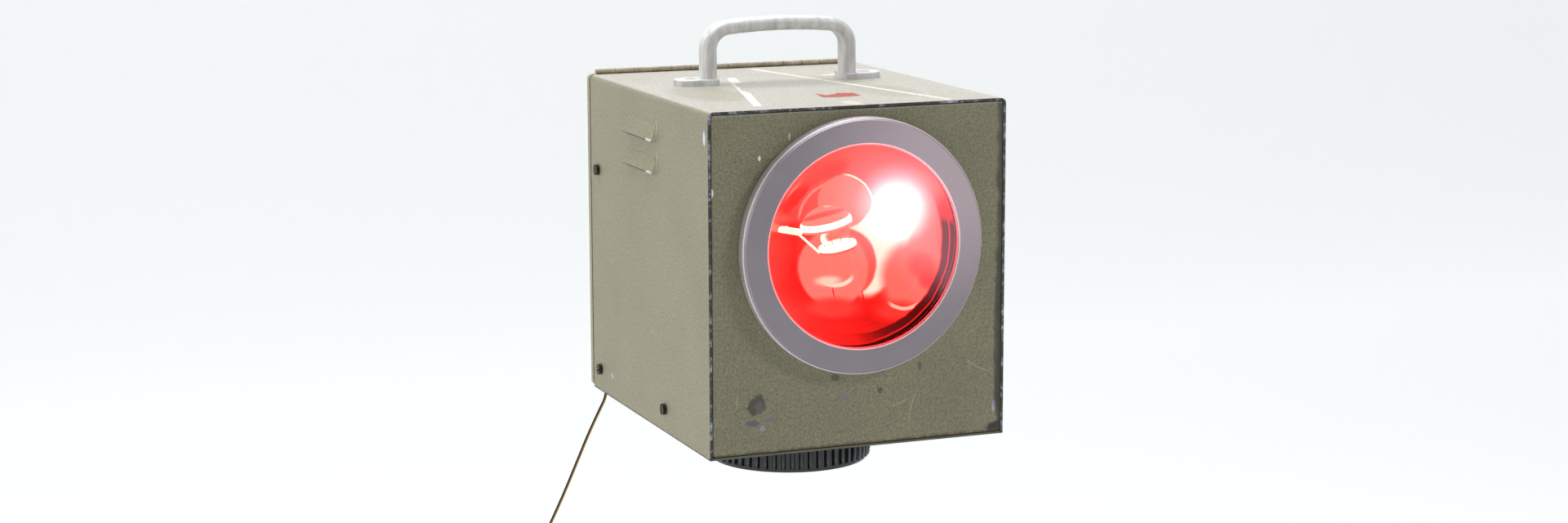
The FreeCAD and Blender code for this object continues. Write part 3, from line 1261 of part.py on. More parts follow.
def bulb_shield():
    """The domed cap over the bulb, the strut that holds it, the strut's nut and the wire to the collar."""
    spherical = "((shield_radius^2 + shield_dome^2)/(2*shield_dome))"
    parts = []
    for word, less in (("outer", "0"), ("inner", "shield_sheet")):
        dome = add("Part::Sphere", f"shield_dome_{word}", Radius=f"{spherical} - {less}")
        drop = f"({spherical} - shield_dome - shield_rim/2)"
        lean_piece(dome, SHIELD_X.format(f"-{drop}"), SHIELD_Z.format(f"-{drop}"))
        wide = f"shield_radius - {less}"
        rim = add("Part::Cylinder", f"shield_rim_{word}", Radius=wide, Height=f"shield_rim/2 + {spherical}")
        lean_piece(rim, SHIELD_X.format("0"), SHIELD_Z.format("0"))
        capped = DOC.addObject("Part::MultiCommon", f"shield_cap_{word}")
        capped.Shapes = [dome, rim]
        skirt = add("Part::Cylinder", f"shield_skirt_{word}", Radius=wide, Height="shield_rim")
        lean_piece(skirt, SHIELD_X.format("(-shield_rim/2)"), SHIELD_Z.format("(-shield_rim/2)"))
        parts.append(fuse(f"shield_{word}", [capped, skirt]))
    node("bulb_shield", cut("shield", parts[0], [parts[1]]))
    strut = add("Part::Box", "arm_strut", Length=ARM_LENGTH, Width="arm_thickness", Height="arm_width")
    strut.Placement = Placement(Vector(), Rotation(Vector(0, 1, 0), value("arm_slope")))
    bind(strut, "Placement.Rotation.Angle", "arm_slope")
    bind(strut, "Placement.Base.x", "-" + ARM_WALL + " - arm_width/2*sin(arm_slope*1deg)")
    bind(strut, "Placement.Base.y", f"{BULB_Y} - arm_thickness/2")
    bind(strut, "Placement.Base.z", f"{LAMP_UP} + {ARM_HIGH} - arm_width/2*cos(arm_slope*1deg)")
    inside = f"({ARM_LENGTH}/3)"
    level = f"{LAMP_UP} + {ARM_HIGH}"
    start, long = f"-{ARM_WALL} + {inside}", f"arm_stud_length + {inside}"
    stud = rod("arm_stud", "arm_stud_radius", long, start, BULB_Y, level, LEFTWARD)
    knob = ball("arm_knob", "arm_ball", "-" + ARM_TIP, BULB_Y, f"{LAMP_UP} + {ARM_LOW}")
    link = drawn("arm_link", link_shape)
    node("shield_arm", fuse("arm", [strut, stud, knob, link]))
    at = f"(-{ARM_WALL} - arm_stud_length + arm_nut_height + overrun)"
    nut = hexagon("arm_nut_hexagon", "arm_nut_radius", "arm_nut_height", at, BULB_Y, level, LEFTWARD)
    bore = rod("arm_nut_bore", "arm_stud_radius + fit_gap", "arm_nut_height", at, BULB_Y, level, LEFTWARD)
    node("arm_nut", cut("arm_nut_bored", nut, [bore]))


def link_shape():
    """The wire from the strut's end down to the side of the bulb's collar."""
    radius = value("link_radius")
    start = Vector(-value(ARM_TIP) - value("arm_width") / 2, value(BULB_Y), value(f"{LAMP_UP} + {ARM_LOW}"))
    lean = math.radians(value("bulb_lean"))
    out = value("collar_radius") + radius + value("link_gap")
    collar = value("collar_right"), value(f"{LAMP_UP} - collar_drop")
    end = Vector(collar[0] - out * math.cos(lean), start.y, collar[1] - out * math.sin(lean))
    way = end - start
    return Part.makeCylinder(radius, way.Length, start, way)


# Wiring and lead


def terminal_block():
    """The two-way terminal block on the tray with its screws."""
    top = f"{TRAY_TOP} + terminal_height"
    low = ("-terminal_left - terminal_length/2", "terminal_back - terminal_width/2", TRAY_TOP)
    high = ("-terminal_left + terminal_length/2", "terminal_back + terminal_width/2", top)
    bores, screws = [], []
    for sign, word in ((1, "right"), (-1, "left")):
        x = f"-terminal_left + {sign}*terminal_pitch/2"
        bores.append(rod(f"terminal_bore_{word}", "terminal_bore_radius", "terminal_width + 2*overrun", x,
                         "terminal_back + terminal_width/2 + overrun", TERMINAL_WIRE_Z, FORWARD))
        name, tall = f"terminal_screw_{word}", "terminal_screw_height"
        head = rod(name, "terminal_screw_radius", tall, x, "terminal_back", top)
        slot = block(f"terminal_slot_{word}",
                     (f"{x} - terminal_screw_radius", "terminal_back - terminal_slot/2", f"{top} + {tall}/2"),
                     (f"{x} + terminal_screw_radius", "terminal_back + terminal_slot/2", f"{top} + {tall}"))
        screws.append(cut(f"terminal_screw_slotted_{word}", head, [slot]))
    node("terminal_block", cut("terminal", block("terminal_body", low, high), bores))
    node("terminal_screws", group("terminal_screws", screws))


def wire_routes():
    """Points of the two inner wires, from the terminal block to the socket's foot."""
    lean = math.radians(value("bulb_lean"))
    drop = value("collar_height/2 + socket_length + wire_end_gap")
    foot_x = value("collar_right") + drop * math.sin(lean)
    foot_z = value(f"{LAMP_UP} - collar_drop") - drop * math.cos(lean)
    bulb_y, up = value(BULB_Y), value(TERMINAL_WIRE_Z)
    down = Vector(math.sin(lean), 0, -math.cos(lean))
    routes = []
    for sign in (1, -1):
        apart = sign * value("wire_spread")
        x = -value("terminal_left") + sign * value("terminal_pitch") / 2
        y = value("terminal_back - terminal_width/2 + wire_entry")
        side = sign * value("socket_radius") * WIRE_END_SHARE
        end = Vector(foot_x + side * math.cos(lean), bulb_y, foot_z + side * math.sin(lean))
        first = up + value("wire_first_rise")
        second, third, last = (up + share * (foot_z - up) for share in WIRE_RISE_SHARES)
        routes.append([
            (x, y, up),
            (x, y - value("wire_first_run"), up),
            (x + value("wire_first_shift") - apart, y - value("wire_second_run"), first),
            (end.x - value("wire_second_left") + apart, bulb_y + value("wire_second_back"), second),
            (end.x - value("wire_third_left") + apart, bulb_y + value("wire_third_back"), third),
            (end.x - value("wire_last_left") + apart, bulb_y - value("wire_last_ahead"), last),
            tuple(end + down * value("wire_last_run")),
            tuple(end),
        ])
    return routes


def lead_route():
    """Points of the lead in the row frame, from the grommet to the plug."""
    start = Vector(-value("grommet_left"), value("grommet_back"), value(CASE_BOTTOM))
    return [tuple(start + Vector(*step)) for step in LEAD_RUN]


def tail_route():
    """Points of the lead inside the case, from the grommet to the terminal block."""
    left, back, up = lead_route()[0]
    y = value("terminal_back + terminal_width/2 - wire_entry")
    x = -value("terminal_left + terminal_pitch/2")
    z = value(TERMINAL_WIRE_Z)
    shift, right, ahead = value("tail_first_shift"), value("tail_second_right"), value("tail_second_ahead")
    return [
        (left, back, up),
        (left, back, up + value("tail_first_run")),
        (left + shift, back - shift, up + value("tail_top")),
        (left + right, back - ahead, up + value("tail_second_rise")),
        (x - value("tail_third_left"), y + value("tail_third_back"), z + value("tail_third_rise")),
        (x, y + value("tail_last_run"), z),
        (x, y, z),
    ]


def wires():
    """The two inner wires and the piece of lead between grommet and terminal block."""
    radius = value("wire_radius")
    for word, points in zip(("live_wire", "return_wire"), wire_routes()):
        node(word, drawn(f"{word}_run", lambda: tube(points, radius, word)))
    half = value("lead_diameter/2")
    node("lead_tail", drawn("lead_tail_run", lambda: tube(tail_route(), half, "lead_tail")))


def lead_and_plug():
    """The rubber grommet, the hanging lead and the plug on its end."""
    top = f"({TRAY_TOP} + fit_gap + frame_sheet)"
    hole, flange = "grommet_hole - fit_gap", "grommet_flange"
    bore = "(lead_diameter/2 + running_gap)"
    grommet = turned("grommet_form", [
        (bore, f"{CASE_BOTTOM} - grommet_lip"), (f"{flange} - grommet_lip/2", f"{CASE_BOTTOM} - grommet_lip"),
        (flange, f"{CASE_BOTTOM} - grommet_lip/2"), (flange, CASE_BOTTOM), (hole, CASE_BOTTOM),
        (hole, top), (flange, top), (flange, f"{top} + grommet_lip"), (bore, f"{top} + grommet_lip"),
    ])
    node("lead_grommet", place(grommet, "-grommet_left", "grommet_back", "0"))
    half = value("lead_diameter/2")
    node("signal_lead", drawn("lead_run", lambda: tube(lead_route(), half, "signal_lead")))
    before, end = (Vector(*point) for point in lead_route()[-2:])
    way = (end - before).normalize()
    turn = Rotation(Vector(0, 0, 1), way)
    neck = taper("plug_neck", "plug_neck_slim", "plug_neck_radius", "plug_neck_length")
    half, deep = "plug_width/2", "plug_thickness/2"
    face = "plug_neck_length + plug_length"
    shell = block("plug_block", (f"-{half}", f"-{deep}", "plug_neck_length"), (half, deep, face))
    edges = DOC.addObject("Part::Fillet", "plug_rounded")
    edges.Base = shell
    DOC.recompute()
    bend = value("plug_round")
    edges.Edges = [(i + 1, bend, bend) for i, e in enumerate(shell.Shape.Edges) if runs_along("z", e)]
    plug = fuse("plug", [neck, edges])
    pins = [
        rod(f"plug_pin_{word}", "pin_radius_plug", "pin_length_plug", f"{sign}*pin_spread", "0", face)
        for sign, word in ((1, "right"), (-1, "left"))
    ]
    pin_group = group("plug_pins_pair", pins)
    for obj in (plug, pin_group):
        obj.Placement = Placement(end, turn)
    node("lead_plug", plug)
    node("plug_pins", pin_group)


# Door and its hinge


def knuckle_leaf(name, side, first):
    """One leaf of the long hinge: a folded strip with knuckles along its edge, in every second place."""
    body = new_body(name)
    total = "(knuckle_pairs*knuckle_pitch)"
    inner, outer = f"({side}*leaf_gap/2)", f"({side}*(leaf_gap/2 + leaf_sheet))"
    reach = "leaf_reach" if side < 0 else "door_leaf_reach"
    sheet = "case_sheet" if side < 0 else "door_sheet"
    under = f"(-knuckle_radius - barrel_lift - {sheet})"
    strip = sketch_on(body, "YZ_Plane", f"{name}_strip", f"-{total}")
    far = f"({side}*(hinge_slot/2 + {reach}))"
    outline(strip, [
        (inner, "-knuckle_radius - barrel_lift"), (outer, "-knuckle_radius - barrel_lift"), (outer, under),
        (far, under), (far, f"{under} - leaf_sheet"), (inner, f"{under} - leaf_sheet"),
    ])
    pad(body, strip, f"2*{total}")
    ring = sketch_on(body, "YZ_Plane", f"{name}_ring", f"-{total} + {first}*knuckle_pitch + knuckle_gap/2")
    circle(ring, "knuckle_radius")
    length = "knuckle_pitch - knuckle_gap"
    knuckle = pad(body, ring, length)
    web = sketch_on(body, "YZ_Plane", f"{name}_web", f"-{total} + {first}*knuckle_pitch + knuckle_gap/2")
    outline(web, [
        (inner, "-knuckle_radius - barrel_lift - leaf_sheet"),
        (outer, "-knuckle_radius - barrel_lift - leaf_sheet"),
        (outer, "-hinge_pin_radius - leaf_sheet/2"), (inner, "-hinge_pin_radius - leaf_sheet/2"),
    ])
    tongue = pad(body, web, length)
    row = body.newObject("PartDesign::LinearPattern", f"{name}_row")
    row.Originals = [knuckle, tongue]
    row.Direction = (ring, ["N_Axis"])
    row.Mode = "Spacing"
    bind(row, "Offset", "2*knuckle_pitch")
    bind(row, "Occurrences", "knuckle_pairs")
    body.Tip = row
    play = "fit_gap/4" if side < 0 else "running_gap"
    hole = sketch_on(body, "YZ_Plane", f"{name}_bore", f"{total} + overrun")
    circle(hole, f"hinge_pin_radius + {play}")
    pocket(body, hole, f"2*{total} + 2*overrun")
    return place(body, "0", HINGE_Y, HINGE_Z)


def rear_door():
    """The pan-shaped door with its pressed panel, its hinge leaf and its seal."""
    body = new_body("door")
    half = "(case_width/2)"
    sketch = sketch_on(body, "XZ_Plane", "door_outline", f"-{DOOR_FRONT}")
    rectangle(sketch, f"-{half}", CASE_BOTTOM, half, CASE_TOP)
    slab = pad(body, sketch, "door_depth", back=True)

    def corner(edge):
        return runs_along("y", edge)

    corners = round_edges(body, slab, "fold_radius", corner)

    def back_rim(edge):
        return near(edge.CenterOfMass.y, CASE_BACK)

    round_edges(body, corners, "door_bend", back_rim)
    hollow = sketch_on(body, "XZ_Plane", "door_hollow", f"-({DOOR_FRONT} - overrun)")
    inner = f"({half} - door_sheet)"
    rectangle(hollow, f"-{inner}", f"{CASE_BOTTOM} + door_sheet", inner, f"{CASE_TOP} - door_sheet")
    pocket(body, hollow, "door_depth - door_sheet + overrun")
    bead = f"({half} - door_bead_inset)"
    low, high = f"({CASE_BOTTOM} + door_bead_inset + latch_rise)", f"({CASE_TOP} - door_bead_inset)"
    raised = sketch_on(body, "XZ_Plane", "door_bead_back", f"-({CASE_BACK} - door_sheet - door_bead_depth)")
    rectangle(raised, f"-{bead}", low, bead, high)
    lump = pad(body, raised, "door_bead_depth", back=True)
    sunk = sketch_on(body, "XZ_Plane", "door_bead_front", f"-({CASE_BACK} + overrun)")
    small = f"({bead} - door_sheet)"
    rectangle(sunk, f"-{small}", f"{low} + door_sheet", small, f"{high} - door_sheet")
    recess = pocket(body, sunk, "door_bead_depth + overrun", back=True)

    def recess_corner(edge):
        middle = edge.CenterOfMass
        pressed = middle.y > value(f"{CASE_BACK} - door_bead_depth")
        return runs_along("y", edge) and pressed and abs(middle.x) < value(f"{small} + fit_gap")

    round_edges(body, recess, "door_bead_corner", recess_corner)
    start, through = f"{CASE_BACK} - door_sheet - overrun", "door_sheet + 2*overrun"
    clear = "latch_shank_radius + running_gap"
    hole = rod("door_latch_hole", clear, through, "0", start, LATCH_UP, BACKWARD)
    node("rear_door", cut("door_drilled", body, [hole]))
    node("door_hinge_leaf", knuckle_leaf("door_leaf", 1, 1))
    outer = f"({inner} - seal_inset)"
    strip = new_body("seal")
    loop = sketch_on(strip, "XZ_Plane", "seal_outline", f"-({LIP_BACK} + seal_gap)")
    foot = f"{CASE_BOTTOM} + door_sheet + seal_inset"
    head = f"{CASE_TOP} - door_sheet - seal_inset - leaf_sheet"
    rectangle(loop, f"-{outer}", foot, outer, head)
    inset = f"({outer} - seal_width)"
    rectangle(loop, f"-{inset}", f"{CASE_BOTTOM} + door_sheet + seal_inset + seal_width", inset,
              f"{CASE_TOP} - door_sheet - seal_inset - leaf_sheet - seal_width")
    pad(strip, loop, f"{CASE_BACK} - door_sheet - {LIP_BACK} - seal_gap", back=True)
    node("door_seal", strip)


def case_hinge():
    """The hinge leaf fixed under the top sheet and the pin through all knuckles."""
    node("case_hinge_leaf", knuckle_leaf("case_leaf", -1, 0))
    total = "(knuckle_pairs*knuckle_pitch)"
    wire = rod("hinge_wire", "hinge_pin_radius", f"2*{total}", f"-{total}", HINGE_Y, HINGE_Z, RIGHTWARD)
    node("hinge_pin", wire)


def latch():
    """The coin-slot latch: head and shank, the cam behind the frame's lip and its nut."""
    head_base = f"({CASE_BACK} + latch_rest)"
    cam_back = f"({LIP_FRONT} - cam_gap)"
    cam_front = f"({cam_back} - cam_thickness)"
    end = f"({cam_front} - latch_nut_height - overrun)"
    head = rod("latch_disc", "latch_head_radius", "latch_head_height", "0", head_base, LATCH_UP, BACKWARD)
    rounded = DOC.addObject("Part::Chamfer", "latch_disc_edge")
    rounded.Base = head
    DOC.recompute()
    bend = value("latch_chamfer")
    rounded.Edges = [(i + 1, bend, bend) for i, e in enumerate(head.Shape.Edges)
                     if near(e.CenterOfMass.y, f"{head_base} + latch_head_height")]
    shank = rod("latch_shank", "latch_shank_radius", f"{head_base} - {end}", "0", end, LATCH_UP, BACKWARD)
    face = f"{head_base} + latch_head_height"
    low, high = f"{LATCH_UP} - latch_slot_width/2", f"{LATCH_UP} + latch_slot_width/2"
    slot = block("latch_slot", ("-latch_head_radius - overrun", f"{face} - latch_slot_depth", low),
                 ("latch_head_radius + overrun", f"{face} + overrun", high))
    node("latch_knob", cut("latch_slotted", fuse("latch_turned", [rounded, shank]), [slot]))
    hub = rod("cam_hub", "cam_width/2", "cam_thickness", "0", cam_front, LATCH_UP, BACKWARD)
    low, high = f"{LATCH_UP} - cam_width/2", f"{LATCH_UP} + cam_width/2"
    clear = "latch_shank_radius + fit_gap/2"
    bar = block("cam_bar", ("0", cam_front, low), ("cam_length", cam_back, high))
    bore = rod("cam_bore", clear, "cam_thickness", "0", cam_front, LATCH_UP, BACKWARD)
    node("latch_cam", cut("cam", fuse("cam_blank", [hub, bar]), [bore]))
    tall = "latch_nut_height"
    nut = hexagon("latch_nut_hexagon", "latch_nut_radius", tall, "0", cam_front, LATCH_UP, FORWARD)
    thread = rod("latch_nut_bore", clear, tall, "0", cam_front, LATCH_UP, FORWARD)
    node("latch_nut", cut("latch_nut_bored", nut, [thread]))


# Places that the functions above name, worked out from the sizes of the pieces they join

BAND_INSIDE = "(rib_radius - rib_depth - base_wall)"
PLATE_LOW = "(base_height - base_top)"
POCKET_FLOOR = f"({PLATE_LOW} - spindle_head - fit_gap)"
RETAINER_FRONT = "(bezel_depth - bezel_ledge - 2*gasket_thickness - glass_thickness)"
RETAINER_BACK = f"({RETAINER_FRONT} - retainer_thickness)"
GLASS_BACK = "(bezel_depth - bezel_ledge - gasket_thickness - glass_thickness)"
BULB_UP_X = "(collar_right - ({})*sin(bulb_lean*1deg))"
BULB_UP_Z = "(-collar_drop + ({})*cos(bulb_lean*1deg))"
BULB_DOWN_X = "(collar_right + ({})*sin(bulb_lean*1deg))"
BULB_DOWN_Z = "(-collar_drop - ({})*cos(bulb_lean*1deg))"
SHIELD_X = "(-shield_left - ({})*sin(bulb_lean*1deg))"
SHIELD_Z = "(shield_up + ({})*cos(bulb_lean*1deg))"
ARM_WALL = "(sqrt(4*focal_length*(focal_length + bulb_ahead) - shield_up^2) - reflector_sheet)"
ARM_TIP = "(shield_left + (shield_radius + arm_ball)*cos(bulb_lean*1deg))"
ARM_LENGTH = f"(({ARM_WALL} - {ARM_TIP})/cos(arm_slope*1deg))"
ARM_LOW = "(shield_up - (shield_radius + arm_ball)*sin(bulb_lean*1deg))"
ARM_HIGH = f"({ARM_LOW} + ({ARM_WALL} - {ARM_TIP})*tan(arm_slope*1deg))"
BRACKET_X = "(collar_right + clamp_drop*sin(bulb_lean*1deg))"
BRACKET_SCREW_Y = f"({BULB_Y} + socket_radius + clamp_wall - bracket_sheet + bracket_foot*2/3)"
TERMINAL_WIRE_Z = f"({TRAY_TOP} + terminal_height/2)"


def check_and_export():
    """Stops if any object failed, then writes each piece to its own file."""
    DOC.recompute()
    failed = [o.Name for o in DOC.Objects if {"Invalid", "Error"} & set(o.State)]
    if failed:
        raise RuntimeError(f"objects failed: {failed}")
    os.makedirs("parts", exist_ok=True)
    for obj in NODES:
        if obj.Shape.isNull() or not obj.Shape.isValid() or not obj.Shape.Solids:
            raise RuntimeError(f"{obj.Label} has no valid solid")
        obj.Shape.exportStep(f"parts/{obj.Label}.step")
        print(f"{obj.Label}: {len(obj.Shape.Solids)} solids, {obj.Shape.Volume / 1000:.2f} cm3")


def main():
    """Builds the lamp piece by piece."""
    fill_sheet()
    case_sleeve()
    front_panel()
    bottom_tray()
    rear_frame()
    side_screws()
    carry_handle()
    ribbed_band()
    base_plate()
    bush_and_screws()
    spindle_parts()
    bezel()
    bayonet_ring()
    reflector()
    bulb()
    socket_and_bracket()
    bulb_shield()
    terminal_block()
    wires()
    lead_and_plug()
    rear_door()
    case_hinge()
    latch()
    check_and_export()


main()
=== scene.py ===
"""The look of the signal lamp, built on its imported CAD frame. Metres, in the CAD's own frame."""

import json
import logging
import math
from dataclasses import dataclass
from enum import Enum
from typing import Any

import bmesh
import bpy
from bpy.types import Material, Mesh, Node, NodeSocket, NodeTree, Object
from mathutils import Matrix, Vector

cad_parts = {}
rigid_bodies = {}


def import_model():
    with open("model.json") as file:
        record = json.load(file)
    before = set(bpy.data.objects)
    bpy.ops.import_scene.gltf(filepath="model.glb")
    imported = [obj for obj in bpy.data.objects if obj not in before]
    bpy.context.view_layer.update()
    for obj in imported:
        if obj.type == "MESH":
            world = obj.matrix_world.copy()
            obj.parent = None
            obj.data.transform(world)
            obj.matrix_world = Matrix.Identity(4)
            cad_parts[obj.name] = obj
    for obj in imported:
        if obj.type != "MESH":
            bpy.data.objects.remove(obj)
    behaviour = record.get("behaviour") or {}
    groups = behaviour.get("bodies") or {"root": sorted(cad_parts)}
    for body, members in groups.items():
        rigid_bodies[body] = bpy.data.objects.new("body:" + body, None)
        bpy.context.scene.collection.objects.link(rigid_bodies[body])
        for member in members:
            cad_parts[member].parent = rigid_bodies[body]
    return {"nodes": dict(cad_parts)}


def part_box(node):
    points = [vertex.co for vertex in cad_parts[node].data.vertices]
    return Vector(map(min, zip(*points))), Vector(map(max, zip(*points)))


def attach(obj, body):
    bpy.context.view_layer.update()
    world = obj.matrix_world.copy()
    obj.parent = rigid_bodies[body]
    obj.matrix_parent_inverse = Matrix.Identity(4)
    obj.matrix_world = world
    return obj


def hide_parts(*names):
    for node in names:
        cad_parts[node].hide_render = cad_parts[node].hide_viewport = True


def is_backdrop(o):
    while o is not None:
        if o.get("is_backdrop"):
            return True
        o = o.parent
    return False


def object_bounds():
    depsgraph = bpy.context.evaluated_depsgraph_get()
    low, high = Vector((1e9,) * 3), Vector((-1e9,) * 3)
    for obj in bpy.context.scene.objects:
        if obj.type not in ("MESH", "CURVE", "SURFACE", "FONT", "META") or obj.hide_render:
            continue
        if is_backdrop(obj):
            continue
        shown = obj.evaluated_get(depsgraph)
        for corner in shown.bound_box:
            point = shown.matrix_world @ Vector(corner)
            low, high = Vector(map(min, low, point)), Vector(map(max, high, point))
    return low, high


for leftover in list(bpy.data.objects):
    bpy.data.objects.remove(leftover)

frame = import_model()

LOG = logging.getLogger("signal_lamp")
MM = 0.001

Point = tuple[float, float, float]
Colour = tuple[float, float, float, float]

# What a node's input takes: a value, another node's output, or a whole node for its first output in use

Source = Any


# Places in the CAD frame


@dataclass(frozen=True)
class Places:
    """Sizes of the lamp that several pieces share, in metres, and the two directions across its beam."""

    half_width: float = 0.111
    front: float = -0.133
    sleeve_back: float = 0.1243
    bottom: float = 0.0351
    top: float = 0.2751
    lamp_up: float = 0.1781
    bulb_y: float = -0.0916
    bulb_lean: float = math.radians(13)
    beam_y: float = -0.110
    beam_side: Point = (0.92927, -0.36938, -0.00284)
    beam_rise: Point = (0.06649, 0.15971, 0.98492)


LAMP = Places()


# Helpers


def linear(code: str) -> Colour:
    """Turns an sRGB hex value to linear light.

    Args:
        code: six hex digits, with or without a leading #.

    Returns:
        Four numbers that a colour socket takes.
    """
    digits = code.lstrip("#")
    parts = [int(digits[i:i + 2], 16) / 255 for i in (0, 2, 4)]
    red, green, blue = (p / 12.92 if p <= 0.04045 else ((p + 0.055) / 1.055) ** 2.4 for p in parts)
    return red, green, blue, 1.0


def per(size_mm: float) -> float:
    """Returns how often a pattern of this size repeats in a metre."""
    return 1 / (size_mm * MM)


def put(tree: NodeTree, kind: str, links: dict | None = None, **settings: Any) -> Node:
    """Adds a node with its settings and links.

    Args:
        tree: the tree it goes into.
        kind: the node's type name.
        links: what each input takes, by the input's name or number.
        **settings: attributes of the node.

    Returns:
        The new node.
    """
    node = tree.nodes.new(kind)
    for name, value in settings.items():
        setattr(node, name, value)
    for name, source in (links or {}).items():
        if isinstance(source, Node):
            source = next(output for output in source.outputs if output.enabled)
        if isinstance(source, NodeSocket):
            tree.links.new(source, node.inputs[name])
        else:
            node.inputs[name].default_value = source
    return node


def new_piece(name: str, mesh: Mesh, body: str, slot: str, *finishes: Material) -> Object:
    """Makes an object of a mesh, dresses it and lets it ride on a body.

    Args:
        name: the piece's name.
        mesh: its mesh, in place.
        body: the CAD body that it rides on.
        slot: the record's material slot; not used.
        *finishes: its materials.

    Returns:
        The new object.
    """
    piece = bpy.data.objects.new(name, mesh)
    bpy.context.scene.collection.objects.link(piece)
    if mesh.materials:
        mesh.materials.clear()
    for finish in finishes:
        mesh.materials.append(finish)
    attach(piece, body)
    LOG.info("piece %s: %d faces on %s", name, len(mesh.polygons), body)
    return piece


def plain_mesh(name: str, shape: bmesh.types.BMesh) -> Mesh:
    """Turns an edited shape to a mesh and frees it.

    Args:
        name: the mesh's name.
        shape: the shape.

    Returns:
        The mesh.
    """
    mesh = bpy.data.meshes.new(name)
    shape.to_mesh(mesh)
    shape.free()
    return mesh


def along(path: list[Vector], i: int) -> Vector:
    """Returns the direction of a row of points at one of them."""
    return (path[min(i + 1, len(path) - 1)] - path[max(i - 1, 0)]).normalized()


def tube_mesh(name: str, path: list[Vector], radius: float, sides: int) -> Mesh:
    """A closed round tube along a row of points.

    Args:
        name: the mesh's name.
        path: the points of its middle line.
        radius: its radius.
        sides: corners of its section.

    Returns:
        The mesh, its faces pointing outwards.
    """
    shape = bmesh.new()
    rings = []
    side = along(path, 0).orthogonal().normalized()
    turns = [2 * math.pi * k / sides for k in range(sides)]
    for i, point in enumerate(path):
        way = along(path, i)
        side = (side - way * side.dot(way)).normalized()
        over = way.cross(side)
        ring = [point + radius * (math.cos(turn) * side + math.sin(turn) * over) for turn in turns]
        rings.append([shape.verts.new(corner) for corner in ring])
    for first, second in zip(rings, rings[1:]):
        for k in range(sides):
            n = (k + 1) % sides
            shape.faces.new((first[k], first[n], second[n], second[k]))
    shape.faces.new(list(reversed(rings[0])))
    shape.faces.new(rings[-1])
    bmesh.ops.recalc_face_normals(shape, faces=shape.faces)
    mesh = plain_mesh(name, shape)
    for face in mesh.polygons:
        face.use_smooth = len(face.vertices) == 4
    return mesh


def slab_mesh(name: str, outline: list[Point], lift: Vector) -> Mesh:
    """A thin flat piece: an outline on a surface, lifted off it by its thickness.

    Args:
        name: the mesh's name.
        outline: its corners, in order.
        lift: from the surface to the piece's top.

    Returns:
        The closed mesh.
    """
    shape = bmesh.new()
    face = shape.faces.new([shape.verts.new(corner) for corner in outline])
    made = bmesh.ops.extrude_face_region(shape, geom=[face])
    moved = [item for item in made["geom"] if isinstance(item, bmesh.types.BMVert)]
    bmesh.ops.translate(shape, verts=moved, vec=lift)
    bmesh.ops.triangulate(shape, faces=[f for f in shape.faces if len(f.verts) > 4])
    bmesh.ops.recalc_face_normals(shape, faces=shape.faces)
    return plain_mesh(name, shape)


def settled_mesh(holder: Object) -> Mesh:
    """Evaluates an object, keeps its result as a plain mesh and removes the object.

    Args:
        holder: the object.

    Returns:
        The mesh.
    """
    bpy.context.scene.collection.objects.link(holder)
    seen = bpy.context.evaluated_depsgraph_get()
    mesh = bpy.data.meshes.new_from_object(holder.evaluated_get(seen))
    bpy.data.objects.remove(holder)
    return mesh


# A material in the making


